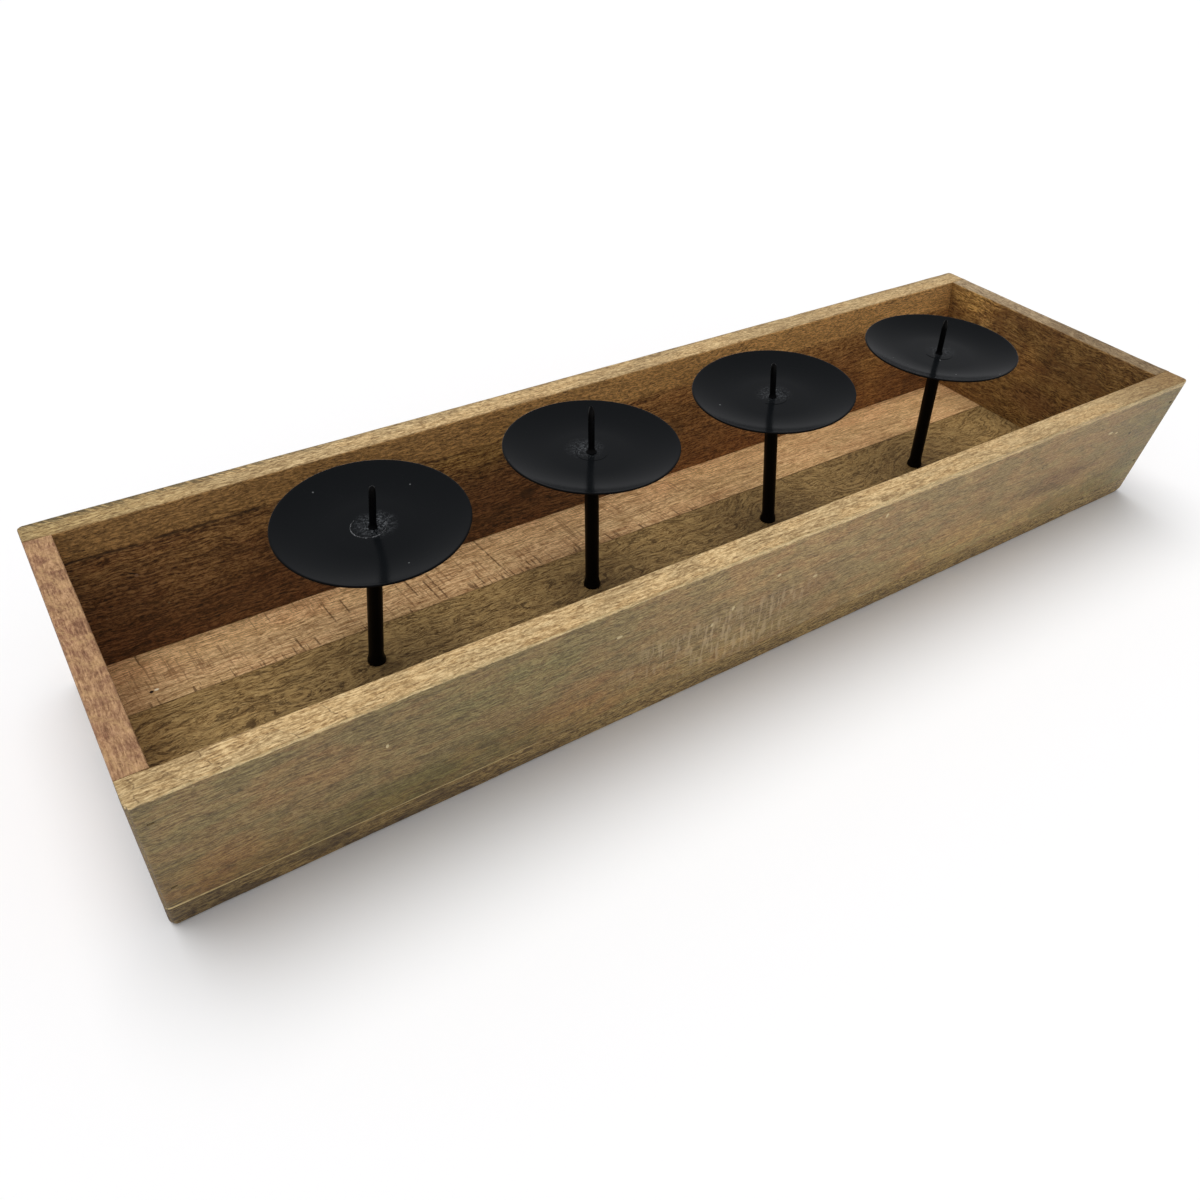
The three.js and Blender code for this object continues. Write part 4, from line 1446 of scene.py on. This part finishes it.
def drill(middle, radius, bottom, top, sides=48):
    """A round upright cutter."""
    place = Matrix.Translation((middle[0], middle[1], (bottom + top) / 2))
    size = {"radius1": radius, "radius2": radius, "depth": top - bottom, "segments": sides}
    return simple_mesh("drill", bmesh.ops.create_cone, cap_ends=True, matrix=place, **size)


def foot_middle(holder):
    """The middle of a stem's foot on the floor."""
    points = node_points(f"stem_{holder}")
    foot = points[points[:, 2] < points[:, 2].min() + 0.05 * MM]
    middle = (foot.min(axis=0) + foot.max(axis=0)) / 2
    return Vector((middle[0], middle[1], FLOOR_TOP))


def middle_floor_board(look, seed):
    """The board that carries the holders, with a counterbore under each."""
    name = "floor_middle_planed"
    low = (-TRAY_HALF, -MIDDLE_HALF, 0)
    high = (TRAY_HALF, MIDDLE_HALF, FLOOR_TOP)
    rows = (
        (ALONG_SPACING, FOOT_END_ROWS, FOOT_END_ROWS),
        (ACROSS_SPACING, rows_for(SEAM_EASE), rows_for(SEAM_EASE)),
        (FLOOR_SPACING, rows_for(ARRIS_EASE), rows_for(SEAM_EASE)),
    )
    ease = eases(ARRIS_EASE, ARRIS_EASE, SEAM_EASE, SEAM_EASE, ARRIS_EASE, SEAM_EASE)
    mesh = board_mesh(name, low, high, rows, ease, foot_corners(), lambda points: points, seed)
    holes = [brad_recess(f"brad_floor_{end}_middle", (0, 0, -1)) for end in ("left", "right")]
    for holder in HOLDERS:
        radius = WASHER_RADIUS + WASHER_ROOM
        holes.append(drill(foot_middle(holder), radius, -DRILL_PAST, COUNTERBORE_DEPTH))
    finish = wood("floor middle wood", look)
    new_piece(name, settled(cut_out(mesh, holes)), finish, ["floor_board_middle"])


# Metal pieces, grown by geometry trees with named sizes


def geometry_tree(name, sizes):
    """An empty geometry tree with these named sizes and a material; returns its nodes and its entry."""
    tree = bpy.data.node_groups.new(name, "GeometryNodeTree")
    tree.interface.new_socket(name="Geometry", in_out="OUTPUT", socket_type="NodeSocketGeometry")
    for label, value in sizes.items():
        kind = "NodeSocketInt" if isinstance(value, int) else "NodeSocketFloat"
        tree.interface.new_socket(name=label, in_out="INPUT", socket_type=kind).default_value = value
    tree.interface.new_socket(name="Material", in_out="INPUT", socket_type="NodeSocketMaterial")
    nodes = Nodes(tree)
    return tree, nodes, nodes.outputs("NodeGroupInput")


def end_tree(n, entry, geometry):
    """The end of every tree: real geometry, smooth, in its finish."""
    real = n.outputs("GeometryNodeRealizeInstances", geometry)[0]
    smooth = n.outputs("GeometryNodeSetShadeSmooth", real)[0]
    finished = n.outputs("GeometryNodeSetMaterial", smooth, named={"Material": entry["Material"]})[0]
    n.feed(n.add("NodeGroupOutput").inputs[0], finished)


def turned_sheet(n, entry, radius, height, stored):
    """Turns a closed profile round Z: radius and height are fields over the share s along the profile.
    Returns the mesh, with named values stored on it, which stored works out from each point's place."""
    size = {"Size X": 1.0, "Size Y": 1.0, "Vertices X": entry["Steps"], "Vertices Y": entry["Sides"]}
    grid = n.outputs("GeometryNodeMeshGrid", named=size)[0]
    share_round = n.split(n.position())[1] + 0.5
    angle = share_round * (2 * math.pi)
    across = radius * n.math("COSINE", angle)
    deep = radius * n.math("SINE", angle)
    place = n.join(across, deep, height)
    for label, value in stored(place).items():
        grid = n.outputs(
            "GeometryNodeStoreNamedAttribute", grid, data_type="FLOAT", domain="POINT",
            named={"Name": label, "Value": value},
        )[0]
    moved = n.outputs("GeometryNodeSetPosition", grid, named={"Position": place})[0]
    return n.outputs("GeometryNodeMergeByDistance", moved, named={"Distance": 0.002 * MM})[0]


def along_profile(n):
    """The share from 0 to 1 along the profile of a turned sheet."""
    return n.split(n.position())[0] + 0.5


DISH_WALL = 0.03  # where the wall of a dish's hole ends along its profile, whose length is 1
DISH_RIM = 0.47  # and where its rim's rounding begins


def dish_profile(n, entry):
    """The radius and the height of a dish along its profile: over its top, round its rim and back."""
    s = along_profile(n)
    from_end = n.smaller(s, 1.0 - s)
    out = n.share(from_end - DISH_WALL, DISH_RIM - DISH_WALL)
    half = entry["Thickness"] * 0.5
    brim = entry["Rim Radius"] - half
    sheet_width = brim - entry["Hole Radius"]
    middle_radius = entry["Hole Radius"] + sheet_width * out
    slope_width = brim - entry["Flat Radius"]
    past_flat = middle_radius - entry["Flat Radius"]
    climb = n.larger(past_flat / slope_width, 0.0)
    middle_height = entry["Rise"] * climb * climb
    slope = n.math("ARCTANGENT", entry["Rise"] * climb * 2.0 / slope_width)
    turn = (0.5 - s) / (0.5 - DISH_RIM)
    turn = n.larger(n.smaller(turn, 1.0), -1.0)
    round_angle = turn * (math.pi / 2) + slope
    offset = half * n.share(from_end, DISH_WALL)
    radius = middle_radius + offset * n.math("COSINE", round_angle)
    height = half + middle_height + offset * n.math("SINE", round_angle)
    return radius, height


def dish_tree():
    """A dish of sheet metal: flat from its hole outwards, then curving up to a round rim."""
    sizes = {
        "Hole Radius": PLATE_HOLE_RADIUS,
        "Flat Radius": PLATE_FLAT_RADIUS,
        "Rim Radius": PLATE_RIM_RADIUS,
        "Rise": PLATE_RISE,
        "Thickness": PLATE_THICKNESS,
        "Weld Haze": 0.0,
        "Haze Along": 0.0,
        "Haze Across": 0.0,
        "Steps": 120,
        "Sides": 193,
    }
    tree, n, entry = geometry_tree("dish", sizes)
    radius, height = dish_profile(n, entry)

    def stored(place):
        x, y, _ = n.split(place)
        along = x - entry["Haze Along"]
        across = y - entry["Haze Across"]
        beside = n.join(along, across, 0.0)
        haze_distance = n.length(beside)
        return {
            "middle_distance": radius * 1000.0,
            "haze_distance": haze_distance * 1000.0,
            "weld_haze": entry["Weld Haze"],
        }

    end_tree(n, entry, turned_sheet(n, entry, radius, height, stored))
    return tree


ROD_CAP = 0.06  # the share of a rod's profile on each of its two flat ends
NO_LENGTH = 0.0001 * MM  # for a rod with no point and no rounded tip


def rod_height(n, entry, s):
    """The height along a rod's profile, with more points towards its two ends."""
    climb = n.share(s - ROD_CAP, 1 - 2 * ROD_CAP)
    foot_share = n.smaller(climb * 2.0, 1.0)
    low_half = 0.5 * n.math("POWER", foot_share, 2.0)
    top_share = n.smaller((1.0 - climb) * 2.0, 1.0)
    high_half = 0.5 - 0.5 * n.math("POWER", top_share, 2.0)
    return (low_half + high_half) * entry["Length"]


def rod_radius(n, entry, s, height):
    """The radius along a rod's profile: a flared foot, the shaft, and a point with a rounded tip."""
    flare_span = entry["Foot Height"] - entry["Foot Band"]
    under_shaft = entry["Foot Height"] - height
    flare = n.share(under_shaft, flare_span)
    foot_width = entry["Foot Radius"] - entry["Radius"]
    shaft = entry["Radius"] + foot_width * flare * flare
    point_start = entry["Length"] - entry["Point Length"]
    point = n.share(height - point_start, entry["Point Length"])
    taper = entry["Radius"] - entry["Tip Radius"]
    narrowing = taper * n.math("POWER", point, 2.2)
    under_top = entry["Length"] - height
    bow = 1.0 - n.share(under_top, entry["Tip Rounding"])
    rounding = n.math("SQRT", 1.0 - bow * bow * 0.96)
    wall_radius = (shaft - narrowing) * rounding
    from_end = n.smaller(s, 1.0 - s)
    return wall_radius * n.share(from_end, ROD_CAP)


def rod_tree():
    """A round rod with a flared foot and, if it has one, a point. It can lean from above its foot."""
    sizes = {
        "Foot Radius": STEM_FOOT_RADIUS,
        "Foot Band": STEM_FOOT_BAND,
        "Foot Height": STEM_FOOT_HEIGHT,
        "Radius": STEM_RADIUS,
        "Length": 80 * MM,
        "Point Length": NO_LENGTH,
        "Tip Radius": STEM_RADIUS,
        "Tip Rounding": NO_LENGTH,
        "Lean Along": 0.0,
        "Lean Across": 0.0,
        "Bend Height": 0.0,
        "Steps": 130,
        "Sides": 49,
    }
    tree, n, entry = geometry_tree("rod", sizes)
    s = along_profile(n)
    height = rod_height(n, entry, s)
    radius = rod_radius(n, entry, s, height)
    upright = turned_sheet(n, entry, radius, height, lambda place: {})
    up = n.split(n.position())[2]
    above = n.larger(up - entry["Bend Height"], 0.0)
    lean = n.join(above * entry["Lean Along"], above * entry["Lean Across"], 0.0)
    leaned = n.outputs("GeometryNodeSetPosition", upright, named={"Offset": lean})[0]
    end_tree(n, entry, leaned)
    return tree


def bead_path(n, entry):
    """The line of a weld bead: an arc round Z that wanders outwards and inwards."""
    arc = {
        "Resolution": entry["Steps"],
        "Radius": entry["Ring Radius"],
        "Start Angle": entry["Start"],
        "Sweep Angle": entry["Sweep"],
    }
    line = n.outputs("GeometryNodeCurveArc", mode="RADIUS", named=arc)[0]
    place = n.position()
    seeded = n.vector("ADD", n.scaled(place, 260.0), n.join(entry["Seed"], entry["Seed"], 0.0))
    wobble = n.centred(n.noise(seeded, detail=3))
    reach = wobble * entry["Bead Radius"] * entry["Unevenness"] * 4.0
    outwards = n.scaled(n.vector("NORMALIZE", place), reach)
    return n.outputs("GeometryNodeSetPosition", line, named={"Offset": outwards})[0]


def bead_tree():
    """An uneven weld bead laid in an arc round Z."""
    sizes = {
        "Ring Radius": 7.8 * MM,
        "Bead Radius": 0.45 * MM,
        "Unevenness": 0.5,
        "Start": 0.0,
        "Sweep": 2 * math.pi,
        "Seed": 1.0,
        "Steps": 160,
    }
    tree, n, entry = geometry_tree("weld bead", sizes)
    circle = {"Resolution": 10, "Radius": 1.0}
    ring = n.outputs("GeometryNodeCurvePrimitiveCircle", mode="RADIUS", named=circle)[0]
    across = n.join(entry["Bead Radius"], entry["Bead Radius"], 1.0)
    section = n.outputs("GeometryNodeTransform", ring, named={"Scale": across})[0]
    path = n.outputs("GeometryNodeSetCurveRadius", bead_path(n, entry), named={"Radius": 1.0})[0]
    swept = {"Curve": path, "Profile Curve": section, "Fill Caps": True}
    end_tree(n, entry, n.outputs("GeometryNodeCurveToMesh", named=swept)[0])
    return tree


def grow(name, tree, sizes, material, place):
    """Runs a geometry tree with these sizes and returns the result as a plain mesh, put in its place."""
    carrier = new_object(name, bpy.data.meshes.new(name))
    modifier = carrier.modifiers.new("shape", "NODES")
    modifier.node_group = tree
    wanted = {**sizes, "Material": material}
    for socket in tree.interface.items_tree:
        if socket.in_out == "INPUT" and socket.name in wanted:
            modifier[socket.identifier] = wanted[socket.name]
    graph = bpy.context.evaluated_depsgraph_get()
    mesh = bpy.data.meshes.new_from_object(carrier.evaluated_get(graph))
    bpy.data.objects.remove(carrier)
    mesh.transform(place)
    return settled(mesh)


DISH = dish_tree()
ROD = rod_tree()
BEAD = bead_tree()


def plate_place(holder):
    """Where a plate is: the middle of its flat underside, with its own +Z along its axis."""
    points = node_points(f"candle_plate_{holder}")
    middle = (points.min(axis=0) + points.max(axis=0)) / 2
    rim = points[np.linalg.norm(points - middle, axis=1) > PLATE_RIM_RADIUS - 1.0 * MM]
    centre = rim.mean(axis=0)
    normal = np.linalg.svd(rim - centre)[2][2]
    normal = normal if normal[2] > 0 else -normal
    underside = centre + normal * ((points - centre) @ normal).min()
    turn = Vector((0, 0, 1)).rotation_difference(Vector(normal))
    return Matrix.Translation(underside) @ turn.to_matrix().to_4x4()


def axis_ends(name):
    """The lowest and the highest point on the axis of a turned CAD node."""
    points = node_points(name)
    low = points[points[:, 2] < points[:, 2].min() + 0.35 * MM].mean(axis=0)
    high = points[points[:, 2].argmax()]
    return Vector(low), Vector(high)


def make_stem(holder, foot, plate, spike_seat, finish):
    """The stem, from its foot on the floor to just under the plate, leaning towards the spike."""
    bend = STEM_FOOT_HEIGHT / 2
    lean = (spike_seat - foot) / (spike_seat.z - foot.z - bend)
    sizes = {
        "Length": plate.translation.z - foot.z - STEM_TOP_GAP,
        "Lean Along": lean.x,
        "Lean Across": lean.y,
        "Bend Height": bend,
    }
    mesh = grow("stem", ROD, sizes, finish, Matrix.Translation(foot))
    new_piece(f"stem_{holder}_turned", mesh, finish, [f"stem_{holder}"])


def make_plate(holder, plate, finish):
    """The candle plate, a dish with the haze of the weld round its middle."""
    own = HOLDERS[holder]
    along, across = own.haze_middle
    sizes = {"Weld Haze": own.haze, "Haze Along": along * MM, "Haze Across": across * MM}
    mesh = grow("plate", DISH, sizes, finish, plate)
    node = f"candle_plate_{holder}"
    new_piece(f"{node}_pressed", mesh, finish, [node])


def make_spike(holder, seat, way, height, finish):
    """The spike, with the small foot that it is welded by."""
    own = HOLDERS[holder]
    turn = Vector((0, 0, 1)).rotation_difference(way).to_matrix().to_4x4()
    base = seat - way * SPIKE_SINK
    sizes = {
        "Foot Radius": own.spike_foot * MM,
        "Foot Band": SPIKE_FOOT_BAND,
        "Foot Height": SPIKE_FOOT_HEIGHT,
        "Radius": SPIKE_RADIUS,
        "Length": height + SPIKE_SINK,
        "Point Length": SPIKE_POINT,
        "Tip Radius": own.spike_tip * MM,
        "Tip Rounding": own.spike_tip * MM,
        "Sides": 41,
    }
    mesh = grow("spike", ROD, sizes, finish, Matrix.Translation(base) @ turn)
    new_piece(f"spike_{holder}_turned", mesh, finish, [f"spike_{holder}"])


def make_bead(holder, plate, finishes):
    """The weld bead on the plate, round the spike."""
    own = HOLDERS[holder]
    sizes = {
        "Start": math.radians(own.bead_start),
        "Sweep": math.radians(own.bead_sweep),
        "Bead Radius": own.bead_radius * MM,
        "Seed": 3.0 * holder,
    }
    along, across = own.bead_middle
    on_plate = plate @ Matrix.Translation((along * MM, across * MM, PLATE_THICKNESS))
    finish = finishes[own.bead_finish]
    mesh = grow("bead", BEAD, sizes, finish, on_plate)
    new_piece(f"weld_bead_{holder}", mesh, finish, [])


def make_holder(holder, finishes):
    """One holder: stem, plate, spike and weld bead, each where its solid is."""
    foot = foot_middle(holder)
    plate = plate_place(holder)
    tang, tip = axis_ends(f"spike_{holder}")
    spike_way = (tip - tang).normalized()
    spike_height = (tip - tang).length - SPIKE_TANG
    spike_seat = tip - spike_way * spike_height
    make_stem(holder, foot, plate, spike_seat, finishes["steel"])
    make_plate(holder, plate, finishes["plate"])
    make_spike(holder, spike_seat, spike_way, spike_height, finishes["steel"])
    make_bead(holder, plate, finishes)


def make_boards():
    """The seven boards. Each board's seed says how its edges are worn."""
    long_board("front", -1, FRONT_LOOK, seed=1)
    long_board("back", 1, BACK_LOOK, seed=2)
    end_board("left", -1, LEFT_END_LOOK, seed=3)
    end_board("right", 1, RIGHT_END_LOOK, seed=4)
    outer_floor_board("front", -1, FLOOR_FRONT_LOOK, seed=5)
    middle_floor_board(FLOOR_MIDDLE_LOOK, seed=6)
    outer_floor_board("back", 1, FLOOR_BACK_LOOK, seed=7)


def dress_fasteners():
    """Brads, screws and washers keep their CAD shape and get their finish."""
    dull = steel_finish("brad steel", tone(96, 92, 86), tone(48, 44, 40), 0.45)
    zinc = steel_finish("zinc", tone(168, 168, 162), tone(120, 120, 116), 0.32)
    finishes = {"brad_": dull, "holder_screw_": zinc, "washer_": zinc}
    for name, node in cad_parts.items():
        for prefix, finish in finishes.items():
            if name.startswith(prefix):
                node.data.materials.clear()
                node.data.materials.append(finish)


# Stage, lights and camera

STAGE_RADIUS = 9.0
STAGE_GAP = 0.05 * MM  # under the tray
CAMERA_PLACE = Vector((-0.29595, -0.34961, 0.35407))
CAMERA_AIM = Vector((-0.04921, 0.00059, 0.0))
CAMERA_ROLL = math.radians(2.672)
CAMERA_LENS = 30.687  # millimetres, as is the sensor
CAMERA_SENSOR = 36
SKY_GREY = (0.36, 0.36, 0.37, 1)  # the sky that lights the tray, where the camera sees white
WHITE = (1, 1, 1, 1)
STAGE_WHITE = (0.97, 0.97, 0.97, 1)


def make_stage():
    """A round white floor."""
    size = {"segments": 96, "radius": STAGE_RADIUS}
    place = Matrix.Translation((0, 0, -STAGE_GAP))
    mesh = simple_mesh("stage", bmesh.ops.create_circle, cap_ends=True, matrix=place, **size)
    stage = new_object("stage", mesh)
    material = bpy.data.materials.new("stage white")
    material.use_nodes = True
    shader = material.node_tree.nodes["Principled BSDF"]
    shader.inputs["Base Color"].default_value = STAGE_WHITE
    shader.inputs["Roughness"].default_value = 0.9
    shader.inputs["Specular IOR Level"].default_value = 0.0
    mesh.materials.append(material)


def make_sun(name, azimuth, elevation, strength, spread):
    """A wide soft light from far away, with no glint of its own. Azimuth 0 is from +X, and 90 degrees
    from +Y, the back."""
    data = bpy.data.lights.new(name, "SUN")
    data.energy = strength
    data.angle = math.radians(spread)
    light = new_object(name, data)
    across, up = math.radians(azimuth), math.radians(elevation)
    towards = Vector((math.cos(across) * math.cos(up), math.sin(across) * math.cos(up), math.sin(up)))
    light.rotation_mode = "QUATERNION"
    light.rotation_quaternion = towards.to_track_quat("Z", "Y")
    light.visible_glossy = False


def make_lights():
    """A key light from behind, a weak fill light from the front, and a grey sky."""
    world = bpy.data.worlds.new("studio")
    world.use_nodes = True
    n = Nodes(world.node_tree)
    seen = n.outputs("ShaderNodeLightPath")["Is Camera Ray"]
    sky = world.node_tree.nodes["Background"].inputs["Color"]
    n.feed(sky, n.blend(seen, SKY_GREY, WHITE))
    bpy.context.scene.world = world
    make_sun("key light", azimuth=100, elevation=74, strength=2.0, spread=50)
    make_sun("fill light", azimuth=-110, elevation=40, strength=0.35, spread=90)
    bpy.context.scene.view_settings.view_transform = "Standard"


def make_camera():
    """The camera at the photograph's viewing angle."""
    data = bpy.data.cameras.new("camera")
    data.lens = CAMERA_LENS
    data.sensor_width = CAMERA_SENSOR
    data.clip_start = 0.01
    data.clip_end = 50
    camera = new_object("camera", data)
    camera.location = CAMERA_PLACE
    camera.rotation_mode = "QUATERNION"
    level = (CAMERA_AIM - CAMERA_PLACE).to_track_quat("-Z", "Y")
    camera.rotation_quaternion = level @ Quaternion((0, 0, 1), CAMERA_ROLL)
    bpy.context.scene.camera = camera


make_camera()
make_stage()
make_lights()
make_boards()
metal = {
    "steel": black_finish("black steel", tone(5, 5, 6), 0.4),
    "plate": black_finish("black plate", tone(15, 17, 19), 0.17, haze_and_painted_rim_shade=True),
    "weld": weld_finish(),
}
for number in HOLDERS:
    make_holder(number, metal)
dress_fasteners()
